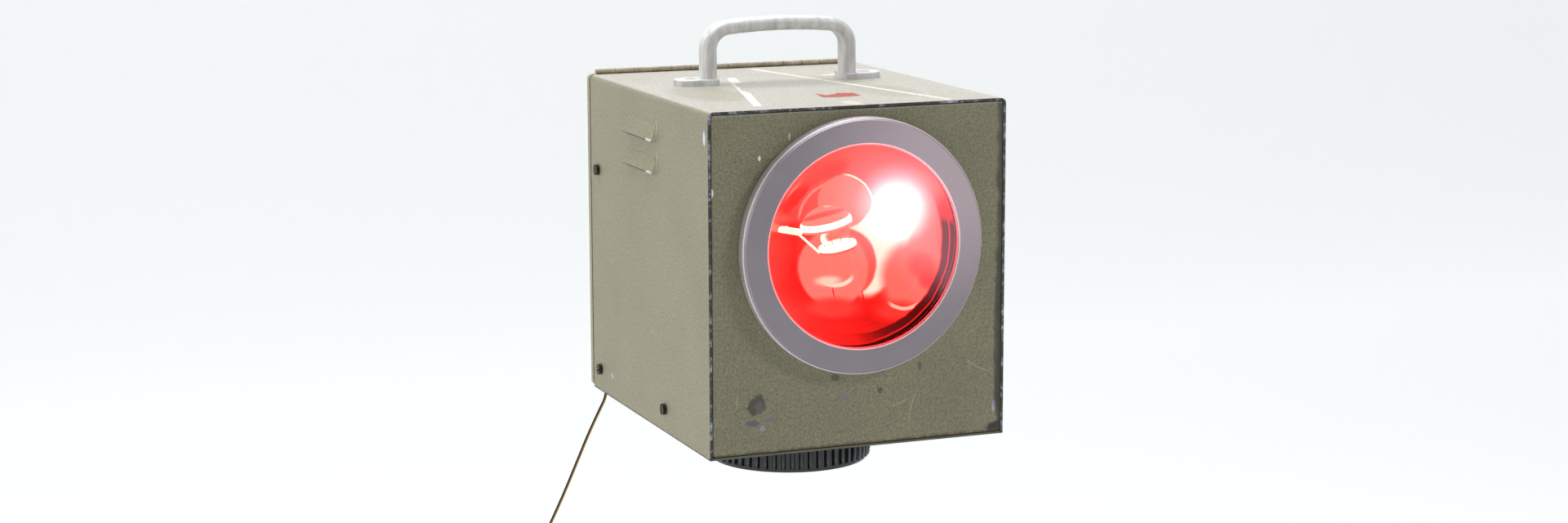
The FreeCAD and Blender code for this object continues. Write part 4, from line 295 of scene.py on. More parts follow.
class Swatch:
    """A material in the making: its tree, the object's coordinates, and the colour laid so far."""

    def __init__(self, name: str, hue: str) -> None:
        """Starts the material.

        Args:
            name: its name.
            hue: its first colour.
        """
        self.material = bpy.data.materials.new(name)
        self.material.use_nodes = True
        self.tree = self.material.node_tree
        self.tree.nodes.clear()
        self.place = put(self.tree, "ShaderNodeTexCoord").outputs["Object"]
        self.colour: Source = linear(hue)

    def vary(self, noise: Source, amount: float, reach: float = 0.2) -> None:
        """Makes the colour lighter and darker with a noise.

        Args:
            noise: the noise, around a half.
            amount: the most that it changes the colour, as a share.
            reach: how far from a half the noise goes for that.
        """
        value = put(self.tree, "ShaderNodeMapRange", {
            "Value": noise, 1: 0.5 - reach, 2: 0.5 + reach, 3: 1 - amount, 4: 1 + amount,
        })
        self.colour = put(self.tree, "ShaderNodeHueSaturation", {"Color": self.colour, "Value": value})

    def cover(self, colour: Source, *masks: Source) -> None:
        """Lays a colour over the one laid so far, as much as the masks together let through.

        Args:
            colour: the new colour.
            *masks: each from 0, nothing, to 1.
        """
        mask = masks[0]
        for other in masks[1:]:
            mask = put(self.tree, "ShaderNodeMath", {0: mask, 1: other}, operation="MULTIPLY")
        self.colour = put(self.tree, "ShaderNodeMix", {0: mask, 6: self.colour, 7: colour}, data_type="RGBA")

    def lay(self, hue: str, value: Source, full: float, none: float, amount: float = 1.0,
            fade: str = "LINEAR") -> None:
        """Lays a hue over the colour where a value, such as a distance, is right for it.

        Args:
            hue: the hue.
            value: the value.
            full: the value where most of the hue lies.
            none: the value where it ends.
            amount: the most of the hue, up to 1.
            fade: how it fades in between.
        """
        mask = put(self.tree, "ShaderNodeMapRange", {
            "Value": value, 1: full, 2: none, 3: amount, 4: 0.0,
        }, interpolation_type=fade)
        self.cover(linear(hue), mask)

    def beside(self, value: Source, mark: float) -> Node:
        """Returns how far a value is from a mark, to either side."""
        gap = put(self.tree, "ShaderNodeMath", {0: value, 1: mark}, operation="SUBTRACT")
        return put(self.tree, "ShaderNodeMath", {0: gap}, operation="ABSOLUTE")

    def off_axis(self) -> Node:
        """Measures how far it is from the axis of the beam.

        Returns:
            Metres.
        """
        tree, axis = self.tree, (0.0, 0.0, LAMP.lamp_up)
        flat = put(tree, "ShaderNodeVectorMath", {0: self.place, 1: (1.0, 0.0, 1.0)}, operation="MULTIPLY")
        return put(tree, "ShaderNodeVectorMath", {0: flat, 1: axis}, operation="DISTANCE")

    def across_beam(self, waver_mm: float) -> Node:
        """Metres beside and above the middle of the beam, along two fixed directions of the part.

        Args:
            waver_mm: how far a slow noise bends the plane.

        Returns:
            A flat vector.
        """
        tree = self.tree
        middle = (0.0, LAMP.beam_y, LAMP.lamp_up)
        away = put(tree, "ShaderNodeVectorMath", {0: self.place, 1: middle}, operation="SUBTRACT")
        side = put(tree, "ShaderNodeVectorMath", {0: away, 1: LAMP.beam_side}, operation="DOT_PRODUCT")
        rise = put(tree, "ShaderNodeVectorMath", {0: away, 1: LAMP.beam_rise}, operation="DOT_PRODUCT")
        flat = put(tree, "ShaderNodeCombineXYZ", {"X": side, "Y": rise})
        cloud_mm, reach = 18.18, waver_mm * MM
        cloud = put(tree, "ShaderNodeTexNoise", {"Vector": flat, "Scale": per(cloud_mm), "Detail": 3.0})
        bend = put(tree, "ShaderNodeVectorMath", {
            0: cloud.outputs["Color"], 1: (2 * reach, 2 * reach, 0.0), 2: (-reach, -reach, 0.0),
        }, operation="MULTIPLY_ADD")
        return put(tree, "ShaderNodeVectorMath", {0: flat, 1: bend})

    def end(self, shader: Source) -> Material:
        """Joins a shader to the output. Returns the material."""
        put(self.tree, "ShaderNodeOutputMaterial", {"Surface": shader})
        return self.material


# Marks of use


class Edge(Enum):
    """The straight edges of the case that wear, each with a point on it and the axes across it."""

    FRONT_LEFT = ((-LAMP.half_width, LAMP.front, 0.0), (1.0, 1.0, 0.0))
    FRONT_RIGHT = ((LAMP.half_width, LAMP.front, 0.0), (1.0, 1.0, 0.0))
    FRONT_TOP = ((0.0, LAMP.front, LAMP.top), (0.0, 1.0, 1.0))
    FRONT_BOTTOM = ((0.0, LAMP.front, LAMP.bottom), (0.0, 1.0, 1.0))
    LEFT_BOTTOM = ((-LAMP.half_width, 0.0, LAMP.bottom), (1.0, 0.0, 1.0))
    RIGHT_BOTTOM = ((LAMP.half_width, 0.0, LAMP.bottom), (1.0, 0.0, 1.0))
    BACK_LEFT = ((-LAMP.half_width, LAMP.sleeve_back, 0.0), (1.0, 1.0, 0.0))
    BACK_TOP = ((0.0, LAMP.sleeve_back, LAMP.top), (0.0, 1.0, 1.0))


@dataclass(frozen=True)
class Wear:
    """A ragged band of wear along an edge of the case. Its soft border is a share of its reach."""

    edge: Edge
    reach_mm: float
    hue: str
    ragged_mm: float
    amount: float
    soft: float = 0.3

    def lay(self, swatch: Swatch, noise: Source) -> None:
        """Lays the band.

        Args:
            swatch: the material in the making.
            noise: what tears its border.
        """
        tree = swatch.tree
        point, across = self.edge.value
        away = put(tree, "ShaderNodeVectorMath", {0: swatch.place, 1: point}, operation="SUBTRACT")
        flat = put(tree, "ShaderNodeVectorMath", {0: away, 1: across}, operation="MULTIPLY")
        far = put(tree, "ShaderNodeVectorMath", {0: flat}, operation="LENGTH")
        ragged, reach = self.ragged_mm * MM, self.reach_mm * MM
        shift = put(tree, "ShaderNodeMath", {0: noise, 1: -2 * ragged, 2: ragged}, operation="MULTIPLY_ADD")
        torn = put(tree, "ShaderNodeMath", {0: far, 1: shift}, operation="ADD")
        swatch.lay(self.hue, torn, reach * (1 - self.soft), reach * (1 + self.soft), self.amount)


@dataclass(frozen=True)
class Blot:
    """A worn or stained spot: its middle, its half sizes, and how ragged and strong it is."""

    at: Point
    size: Point
    hue: str
    ragged: float = 0.5
    strength: float = 1.0
    soft: float = 0.15

    def lay(self, swatch: Swatch, noise: Source) -> None:
        """Lays the spot.

        Args:
            swatch: the material in the making.
            noise: what tears its border.
        """
        tree = swatch.tree
        away = put(tree, "ShaderNodeVectorMath", {0: swatch.place, 1: self.at}, operation="SUBTRACT")
        shrunk = put(tree, "ShaderNodeVectorMath", {0: away, 1: self.size}, operation="DIVIDE")
        far = put(tree, "ShaderNodeVectorMath", {0: shrunk}, operation="LENGTH")
        torn = put(tree, "ShaderNodeMath", {0: noise, 1: self.ragged * 2, 2: far}, operation="MULTIPLY_ADD")
        border = 1 + self.ragged
        swatch.lay(self.hue, torn, border - self.soft, border + self.soft, self.strength)


@dataclass(frozen=True)
class Scratch:
    """A thin curved scratch on the front: part of a circle, near a point, all in millimetres (x, z)."""

    middle: tuple[float, float]
    radius: float
    near: tuple[float, float]
    reach: float
    width: float = 0.22
    hue: str = "#ACA78E"
    fades: tuple[float, float] = (0.6, 1.2)

    def lay(self, swatch: Swatch) -> None:
        """Lays the scratch.

        Args:
            swatch: the material in the making.
        """
        masks = []
        for (x, z), radius, give in ((self.middle, self.radius, self.width), (self.near, 0.0, self.reach)):
            middle = (x * MM, LAMP.front, z * MM)
            far = put(swatch.tree, "ShaderNodeVectorMath", {0: swatch.place, 1: middle}, operation="DISTANCE")
            start, stop = (give * MM * share for share in self.fades)
            masks.append(put(swatch.tree, "ShaderNodeMapRange", {
                "Value": swatch.beside(far, radius * MM), 1: start, 2: stop, 3: 1.0, 4: 0.0,
            }))
        swatch.cover(linear(self.hue), *masks)


# Light inside the lamp


@dataclass(frozen=True)
class Patch:
    """A patch of light or shade inside the lamp, in millimetres beside and above the middle of the beam.

    The level is the brightness that shows through the red glass, from 0, deep red, to 1, white. Below 0 it is
    black. A patch with a band is a ring of that share of its radius. One with a near circle (side, up and
    radius) shows only there.
    """

    side: float
    up: float
    wide: float
    high: float
    level: float
    lean: float = 0.0
    soft: float = 0.15
    band: float = 0.0
    near: Point | None = None
    near_fade: float = 0.6

    def laid(self, swatch: Swatch, flat: Source, level: Source) -> Node:
        """Lays the patch over a level.

        Args:
            swatch: the material in the making.
            flat: the plane across the beam.
            level: the level under it.

        Returns:
            The new level.
        """
        tree = swatch.tree
        moved = put(tree, "ShaderNodeMapping", {
            "Vector": flat, "Location": (self.side * MM, self.up * MM, 0.0),
            "Rotation": (0.0, 0.0, math.radians(self.lean)), "Scale": (self.wide * MM, self.high * MM, 1.0),
        }, vector_type="TEXTURE")
        far = put(tree, "ShaderNodeVectorMath", {0: moved}, operation="LENGTH")
        inner, outer = 1 - self.soft, 1 + self.soft
        if self.band:
            far = swatch.beside(far, 1.0)
            inner, outer = self.band * inner, self.band * outer
        mask = put(tree, "ShaderNodeMapRange", {
            "Value": far, 1: max(inner, 0.0), 2: outer, 3: 1.0, 4: 0.0,
        }, interpolation_type="SMOOTHSTEP")
        if self.near:
            side, up, radius = (size * MM for size in self.near)
            gap = put(tree, "ShaderNodeVectorMath", {0: flat, 1: (side, up, 0.0)}, operation="DISTANCE")
            only = put(tree, "ShaderNodeMapRange", {
                "Value": gap, 1: radius * self.near_fade, 2: radius, 3: 1.0, 4: 0.0,
            }, interpolation_type="SMOOTHSTEP")
            mask = put(tree, "ShaderNodeMath", {0: mask, 1: only}, operation="MULTIPLY")
        return put(tree, "ShaderNodeMix", {0: mask, 2: level, 3: self.level})


def layered(swatch: Swatch, waver_mm: float, patches: tuple[Patch, ...], level: Source) -> Source:
    """Lays patches over each other, the first lowest.

    Args:
        swatch: the material in the making.
        waver_mm: how far their borders waver.
        patches: the patches.
        level: the level under them.

    Returns:
        The level with the patches on it.
    """
    flat = swatch.across_beam(waver_mm)
    for patch in patches:
        level = patch.laid(swatch, flat, level)
    return level


@dataclass(frozen=True)
class Rim:
    """A turned edge that leans with the bulb and shines: its middle, and its heights along the lean."""

    middle: Point
    low_mm: float = -0.3
    high_mm: float = 4.0
    level: float = 1.3
    inner_mm: float = 0.1
    outer_mm: float = 0.2

    def lit(self, swatch: Swatch, level: Source) -> Node:
        """Lights the rim.

        Args:
            swatch: the material in the making.
            level: the level under it.

        Returns:
            The new level.
        """
        tree, lean = swatch.tree, LAMP.bulb_lean
        away = put(tree, "ShaderNodeVectorMath", {0: swatch.place, 1: self.middle}, operation="SUBTRACT")
        up = (-math.sin(lean), 0.0, math.cos(lean))
        rise = put(tree, "ShaderNodeVectorMath", {0: away, 1: up}, operation="DOT_PRODUCT")
        half = (self.high_mm - self.low_mm) / 2
        mask = put(tree, "ShaderNodeMapRange", {
            "Value": swatch.beside(rise, (self.low_mm + half) * MM),
            1: (half - self.inner_mm) * MM, 2: (half + self.outer_mm) * MM, 3: 1.0, 4: 0.0,
        })
        return put(tree, "ShaderNodeMix", {0: mask, 2: level, 3: self.level})


# Finishes


@dataclass(frozen=True)
class Finish:
    """A plain finish: a mottled colour, a fine grain, gloss from roughness. Stretch draws the mottle out."""

    name: str
    hue: str
    roughness: float = 0.5
    metallic: float = 0.0
    mottle: float = 0.12
    mottle_mm: float = 12.0
    grain_mm: float = 0.8
    grain_depth_mm: float = 0.02
    coat: float = 0.0
    stretch: Point = (1.0, 1.0, 1.0)

    def mottled(self) -> Swatch:
        """Starts the material in its hue, lighter and darker in slow patches.

        Returns:
            The material in the making.
        """
        swatch = Swatch(self.name, self.hue)
        drawn = put(swatch.tree, "ShaderNodeMapping", {"Vector": swatch.place, "Scale": self.stretch})
        cloud = put(swatch.tree, "ShaderNodeTexNoise", {
            "Vector": drawn, "Scale": per(self.mottle_mm), "Detail": 4.0,
        })
        swatch.vary(cloud, self.mottle)
        return swatch

    def closed(self, swatch: Swatch, height: Source = None, bump: float = 1.0, glow: Source = 0.0,
               glow_hue: str = "#FFFFFF") -> Material:
        """Gives the material its relief and its shader.

        Args:
            swatch: the material in the making.
            height: the height of the relief, or None for the plain grain.
            bump: how strongly the relief shows.
            glow: the strength of its own light.
            glow_hue: the hue of that light.

        Returns:
            The material.
        """
        tree = swatch.tree
        if height is None:
            height = put(tree, "ShaderNodeTexNoise", {
                "Vector": swatch.place, "Scale": per(self.grain_mm), "Detail": 2.0,
            })
        relief = put(tree, "ShaderNodeBump", {
            "Height": height, "Distance": self.grain_depth_mm * MM, "Strength": bump,
        })
        return swatch.end(put(tree, "ShaderNodeBsdfPrincipled", {
            "Base Color": swatch.colour, "Roughness": self.roughness, "Metallic": self.metallic,
            "Coat Weight": self.coat, "Normal": relief, "Emission Color": linear(glow_hue),
            "Emission Strength": glow,
        }))

    def build(self) -> Material:
        """Returns the finished material."""
        return self.closed(self.mottled())


@dataclass(frozen=True)
class WrinklePaint(Finish):
    """Stoved wrinkle enamel on sheet steel: a pebbled satin skin with worn edges, chips and stains, painted
    highlight and shade on its pebbles, and, where given, painted light on its top.
    """

    worn: tuple[Wear, ...] = ()
    blots: tuple[Blot, ...] = ()
    scratches: tuple[Scratch, ...] = ()
    dust: float = 0.0
    painted_crest_light: float = 0.24
    painted_crest_reach: float = 0.16
    painted_top_light: str = ""
    painted_top_depth_mm: tuple[float, float] = (0.1, 1.0)
    bare_rim: bool = False
    rim_depth_mm: tuple[float, float] = (0.1, 0.4)
    dirt_hue: str = "#35342F"
    steel_hue: str = "#A9ABB6"
    chip_hue: str = "#C9CCD3"
    torn_mm: float = 3.846
    slow_mm: float = 26.32
    fleck_mm: float = 5.882
    chip_gap_mm: float = 16.67
    bare_noise: tuple[float, float] = (0.5, 0.68)
    chip_size: tuple[float, float] = (0.03, 0.045)
    coarse_wear_mm: float = 6.0

    def cut_rim(self, swatch: Swatch, forward: Source) -> None:
        """Lays the sheet's cut edge round the front: black where dirt sits, bluish where the steel is bare.

        Args:
            swatch: the material in the making.
            forward: the coordinate along the beam.
        """
        tree = swatch.tree
        full, none = (LAMP.front + depth * MM for depth in self.rim_depth_mm)
        ahead = put(tree, "ShaderNodeMapRange", {"Value": forward, 1: full, 2: none, 3: 1.0, 4: 0.0})
        flecks = put(tree, "ShaderNodeTexNoise", {
            "Vector": swatch.place, "Scale": per(self.fleck_mm), "Detail": 5.0, "Roughness": 0.7,
        })
        least, most = self.bare_noise
        bare = put(tree, "ShaderNodeMapRange", {"Value": flecks, 1: least, 2: most, 3: 0.0, 4: 1.0})
        steel = put(tree, "ShaderNodeMix", {
            0: bare, 6: linear(self.dirt_hue), 7: linear(self.steel_hue),
        }, data_type="RGBA")
        swatch.cover(steel, ahead)

    def chips(self, swatch: Swatch, slow: Source) -> None:
        """Lays small chips down to the zinc under the enamel.

        Args:
            swatch: the material in the making.
            slow: a slow noise that gathers them.
        """
        tree = swatch.tree
        cells = put(tree, "ShaderNodeTexVoronoi", {"Vector": swatch.place, "Scale": per(self.chip_gap_mm)})
        full, none = self.chip_size
        chip = put(tree, "ShaderNodeMapRange", {"Value": cells, 1: full, 2: none, 3: 1.0, 4: 0.0})
        rare = put(tree, "ShaderNodeMath", {0: slow, 1: 1 - self.dust}, operation="GREATER_THAN")
        swatch.cover(linear(self.chip_hue), chip, rare)

    def build(self) -> Material:
        """Builds the material.

        Returns:
            The finished material.
        """
        swatch = self.mottled()
        tree, place = swatch.tree, swatch.place
        axes = put(tree, "ShaderNodeSeparateXYZ", {0: place}).outputs
        # painted light: the top face is laid in a paler hue, for the light and sheen that fall on it from
        # above
        if self.painted_top_light:
            full, none = (LAMP.top - depth * MM for depth in self.painted_top_depth_mm)
            swatch.lay(self.painted_top_light, axes["Z"], full, none)
        # the enamel's skin shrinks into crests about a millimetre and a half apart; painted highlight on
        # their tops, painted shade between them
        crests = put(tree, "ShaderNodeTexNoise", {
            "Vector": place, "Scale": per(self.grain_mm), "Detail": 2.5, "Roughness": 0.65, "Distortion": 0.5,
        })
        swatch.vary(crests, self.painted_crest_light, self.painted_crest_reach)
        torn = put(tree, "ShaderNodeTexNoise", {
            "Vector": place, "Scale": per(self.torn_mm), "Detail": 5.0, "Roughness": 0.65,
        })
        slow = put(tree, "ShaderNodeTexNoise", {"Vector": place, "Scale": per(self.slow_mm), "Detail": 3.0})
        for blot in self.blots:
            blot.lay(swatch, torn)
        for mark in self.scratches:
            mark.lay(swatch)
        for band in self.worn:
            band.lay(swatch, torn if band.ragged_mm < self.coarse_wear_mm else slow)
        if self.bare_rim:
            self.cut_rim(swatch, axes["Y"])
        if self.dust:
            self.chips(swatch, slow)
        return self.closed(swatch, crests)


@dataclass(frozen=True)
class TurnedAlloy(Finish):
    """Aluminium turned on a lathe and anodised: fine rings round the axis, painted highlights along its
    edges, and painted light from the beam's glare.
    """

    ring_mm: float = 0.5
    ring_light: float = 0.05
    ring_relief: float = 0.6
    painted_highlight_edges_mm: tuple[float, ...] = ()
    painted_highlight_hue: str = "#EFEAEC"
    painted_highlight_mm: tuple[float, float] = (0.2, 0.5)
    painted_highlight_share: float = 0.9
    painted_glare_blush: str = "#C4B3BA"
    glare_at: Point = (0.062, LAMP.front, 0.232)
    glare_reach_mm: tuple[float, float] = (20.0, 125.0)

    def build(self) -> Material:
        """Builds the material.

        Returns:
            The finished material.
        """
        swatch = self.mottled()
        tree, out = swatch.tree, swatch.off_axis()
        rings = put(tree, "ShaderNodeTexNoise", {
            "W": out, "Scale": per(self.ring_mm), "Detail": 2.0,
        }, noise_dimensions="1D")
        swatch.vary(rings, self.ring_light)
        # painted light: the side towards the beam's glare is paler
        far = put(tree, "ShaderNodeVectorMath", {0: swatch.place, 1: self.glare_at}, operation="DISTANCE")
        full, none = (reach * MM for reach in self.glare_reach_mm)
        swatch.lay(self.painted_glare_blush, far, full, none, fade="SMOOTHSTEP")
        # painted highlights: thin pale rings along the edges of the face
        full, none = (reach * MM for reach in self.painted_highlight_mm)
        for radius in self.painted_highlight_edges_mm:
            swatch.lay(self.painted_highlight_hue, swatch.beside(out, radius * MM), full, none, self.painted_highlight_share)
        return self.closed(swatch, rings, self.ring_relief)


@dataclass(frozen=True)
class TintedGlass(Finish):
    """Glass seen straight through: it colours what is behind it and mirrors, and carries a painted glow for
    the light that it scatters.
    """

    gloss: float = 0.03
    shine: float = 0.15
    head_on: float = 0.04
    grazing_power: float = 5.0
    waver_mm: float = 1.0
    painted_veil: tuple[Patch, ...] = ()
    painted_veil_hue: str = "#FFFFFF"
    painted_veil_full: float = 1.0

    def build(self) -> Material:
        """Builds the material.

        Returns:
            The finished material.
        """
        swatch = Swatch(self.name, self.hue)
        tree = swatch.tree
        through = put(tree, "ShaderNodeBsdfTransparent", {"Color": swatch.colour})
        face = put(tree, "ShaderNodeBsdfGlossy", {
            "Roughness": self.gloss, "Color": (self.shine, self.shine, self.shine, 1.0),
        })
        # glass mirrors four parts in a hundred head on and all at a grazing angle, alike on both of its faces
        slant = put(tree, "ShaderNodeLayerWeight", {"Blend": 0.5}).outputs["Facing"]
        grazing = put(tree, "ShaderNodeMath", {0: slant, 1: self.grazing_power}, operation="POWER")
        share = put(tree, "ShaderNodeMath", {
            0: grazing, 1: 1 - self.head_on, 2: self.head_on,
        }, operation="MULTIPLY_ADD")
        mixed = put(tree, "ShaderNodeMixShader", {0: share, 1: through, 2: face})
        # painted light: a glow laid on the glass in patches, for the glare that it scatters
        level = layered(swatch, self.waver_mm, self.painted_veil, 0.0)
        strength = put(tree, "ShaderNodeMath", {0: level, 1: self.painted_veil_full}, operation="MULTIPLY")
        painted_veil = put(tree, "ShaderNodeEmission", {"Color": linear(self.painted_veil_hue), "Strength": strength})
        return swatch.end(put(tree, "ShaderNodeAddShader", {0: mixed, 1: painted_veil}))


@dataclass(frozen=True)
class LitSurface(Finish):
    """A surface inside the burning lamp, in patches of light and shade, with faint spinning rings.

    Full and rest are the strengths of its glow at level 1 and at level 0. At the black level little is left.
    """

    level: float = 0.2
    patches: tuple[Patch, ...] = ()
    rings: float = 0.0
    ring_mm: float = 1.429
    rims: tuple[Rim, ...] = ()
    waver_mm: float = 1.6
    full: float = 100.0
    rest: float = 0.8
    black: float = -0.08
    black_rest: float = 0.01
    steepness: float = 2.2

    def build(self) -> Material:
        """Builds the material.

        Returns:
            The finished material.
        """
        swatch = Swatch(self.name, self.hue)
        tree = swatch.tree
        level = layered(swatch, self.waver_mm, self.patches, self.level)
        if self.rings:
            noise = put(tree, "ShaderNodeTexNoise", {
                "W": swatch.off_axis(), "Scale": per(self.ring_mm), "Detail": 2.0,
            }, noise_dimensions="1D")
            slight = put(tree, "ShaderNodeMath", {
                0: noise, 1: self.rings, 2: -self.rings / 2,
            }, operation="MULTIPLY_ADD")
            level = put(tree, "ShaderNodeMath", {0: level, 1: slight}, operation="ADD")
        for rim in self.rims:
            level = rim.lit(swatch, level)
        steep = put(tree, "ShaderNodeMath", {0: level, 1: self.steepness}, operation="POWER")
        deep = put(tree, "ShaderNodeMapRange", {
            "Value": level, 1: self.black, 2: 0.0, 3: self.black_rest, 4: self.rest,
        })
        strength = put(tree, "ShaderNodeMath", {0: steep, 1: self.full, 2: deep}, operation="MULTIPLY_ADD")
        return self.closed(swatch, glow=strength)


@dataclass(frozen=True)
class LitMetal(Finish):
    """Metal close to the burning filament: so bright that it washes out."""

    glow: float = 10.0
    glow_hue: str = "#FFF4EC"

    def build(self) -> Material:
        """Returns the finished material."""
        return self.closed(Swatch(self.name, self.hue), glow=self.glow, glow_hue=self.glow_hue)


# Tables of wear and light


def sleeve_enamel() -> WrinklePaint:
    """The enamel of the sleeve: painted shade and dirt under its louvres, painted light on their ends, and
    edges worn to metal and rust.

    Returns:
        The finish.
    """
    edges = (
        Wear(Edge.FRONT_LEFT, 0.7, "#24221F", 0.5, 0.95),
        Wear(Edge.FRONT_RIGHT, 1.4, "#2B2823", 1.2, 0.9),
        Wear(Edge.FRONT_TOP, 0.8, "#7E6A55", 0.9, 0.8),
        Wear(Edge.LEFT_BOTTOM, 1.0, "#4A382A", 1.6, 0.9),
        Wear(Edge.RIGHT_BOTTOM, 1.6, "#4A382A", 3.0, 0.85),
        Wear(Edge.BACK_LEFT, 0.9, "#5B5547", 1.2, 0.8),
        Wear(Edge.BACK_TOP, 1.4, "#5A4A38", 2.0, 0.7),
    )
    louvre_shade_light_and_wear = tuple(
        blot for foot in (0.2196, 0.2426) for side in (-1, 1) for blot in (
            # painted shade and dirt along each foot, painted light on the shaded end, and worn specks at the
            # foot
            Blot((side * 0.1152, 0.0055, foot), (0.004, 0.034, 0.0007), "#2A2822", 0.25, 0.9),
            Blot((side * 0.1130, -0.0268, foot + 0.0070), (0.004, 0.0009, 0.0080), "#C3BEA4", 0.1),
            Blot((side * 0.1145, -0.020, foot + 0.0004), (0.005, 0.0060, 0.0012), "#C9C8C2", 1.3, 0.9),
        )
    )
    rubbed = (
        Blot((-LAMP.half_width, -0.1253, 0.2565), (0.004, 0.0022, 0.0050), "#C3C9DC", 0.6),
        Blot((-LAMP.half_width, 0.080, 0.052), (0.004, 0.0030, 0.0022), "#A9A6A0", 0.7),
        Blot((0.0, -0.117, LAMP.top), (0.006, 0.012, 0.004), "#CFC8B6", 0.6, 0.7),
        Blot((-0.073, -0.030, LAMP.top), (0.024, 0.048, 0.004), "#8D8A74", 0.3, 0.55),
        Blot((0.052, -0.060, LAMP.top), (0.020, 0.040, 0.004), "#8D8A74", 0.3, 0.4),
    )
    return WrinklePaint(
        "wrinkle_enamel_sleeve", "#86826A", 0.5, 0.0, 0.05, 60, 1.5, 0.22, worn=edges, blots=louvre_shade_light_and_wear + rubbed,
        dust=0.33, painted_top_light="#ABA79B", bare_rim=True,
    )


def panel_enamel() -> WrinklePaint:
    """The enamel of the front: dirty edges, spots and scratches.

    Returns:
        The finish.
    """
    edges = (
        Wear(Edge.FRONT_LEFT, 2.5, "#33302A", 0.8, 0.9),
        Wear(Edge.FRONT_RIGHT, 5.5, "#34342C", 7.0, 0.8),
        Wear(Edge.FRONT_TOP, 3.0, "#A9A79C", 1.6, 0.6),
        Wear(Edge.FRONT_TOP, 2.3, "#2F2C27", 0.9, 0.9),
        Wear(Edge.FRONT_BOTTOM, 3.2, "#4B3B2B", 3.2, 0.85),
    )
    # x, z, half width and half height in millimetres, then the hue and how ragged and strong it is
    spots = (
        (107.5, 108, 4, 62, "#3B3D34", 0.5, 0.75),
        (-76.8, 71.2, 6.2, 7, "#3F4036", 1.0, 0.9),
        (-75.2, 69, 3, 4, "#7B7D79", 2.2, 0.25),
        (-80, 59, 4.4, 2.2, "#5A5C60", 0.8),
        (-72.4, 54.4, 1.8, 2.2, "#8F91A6", 1.0, 0.7),
        (-67, 60, 5.2, 1.6, "#6A6B72", 0.9, 0.7),
        (-18, 86, 3.4, 2.4, "#4A4A40", 0.8, 0.8),
        (-12, 71.5, 4, 1.6, "#6E7080", 0.9, 0.6),
        (16, 74, 2, 2.2, "#4A4A40", 0.8, 0.8),
        (46, 89, 1.4, 3.4, "#4A4A40", 0.8, 0.7),
        (104, 56, 1.6, 4, "#A9ABC2", 0.9, 0.8),
        (106, 40, 7.5, 4.5, "#2A2D2E", 0.6),
        (-73.9, 242.2, 1, 1.8, "#E4E4E2", 0.3),
        (-52, 256, 0.8, 2.6, "#B5B19B", 0.4),
        (-108.6, 220.2, 1.2, 3, "#E0E2EA", 0.7),
        (-106.5, 269, 2.2, 1.4, "#8A6B56", 0.9, 0.8),
        (-87, 38.1, 2.4, 0.6, "#2FA39A", 0.2),
    )
    depth = 0.01
    return WrinklePaint(
        "wrinkle_enamel_panel", "#7B775F", 0.5, 0.0, 0.06, 45, 1.6, 0.24, painted_crest_light=0.28, dust=0.36,
        worn=edges, blots=tuple(
            Blot((x * MM, LAMP.front, z * MM), (wide * MM, depth, high * MM), *look)
            for x, z, wide, high, *look in spots
        ),
        scratches=(
            Scratch((109.0, 118.0), 38.0, (90.0, 84.0), 11.0),
            Scratch((240.0, 98.0), 156.0, (85.0, 86.0), 4.0),
            Scratch((88.0, 48.0), 50.0, (42.0, 60.0), 13.0),
            Scratch((20.0, 94.0), 32.0, (30.0, 65.0), 7.0),
            Scratch((140.0, 54.0), 232.0, (-91.5, 74.0), 5.0),
        ),
    )


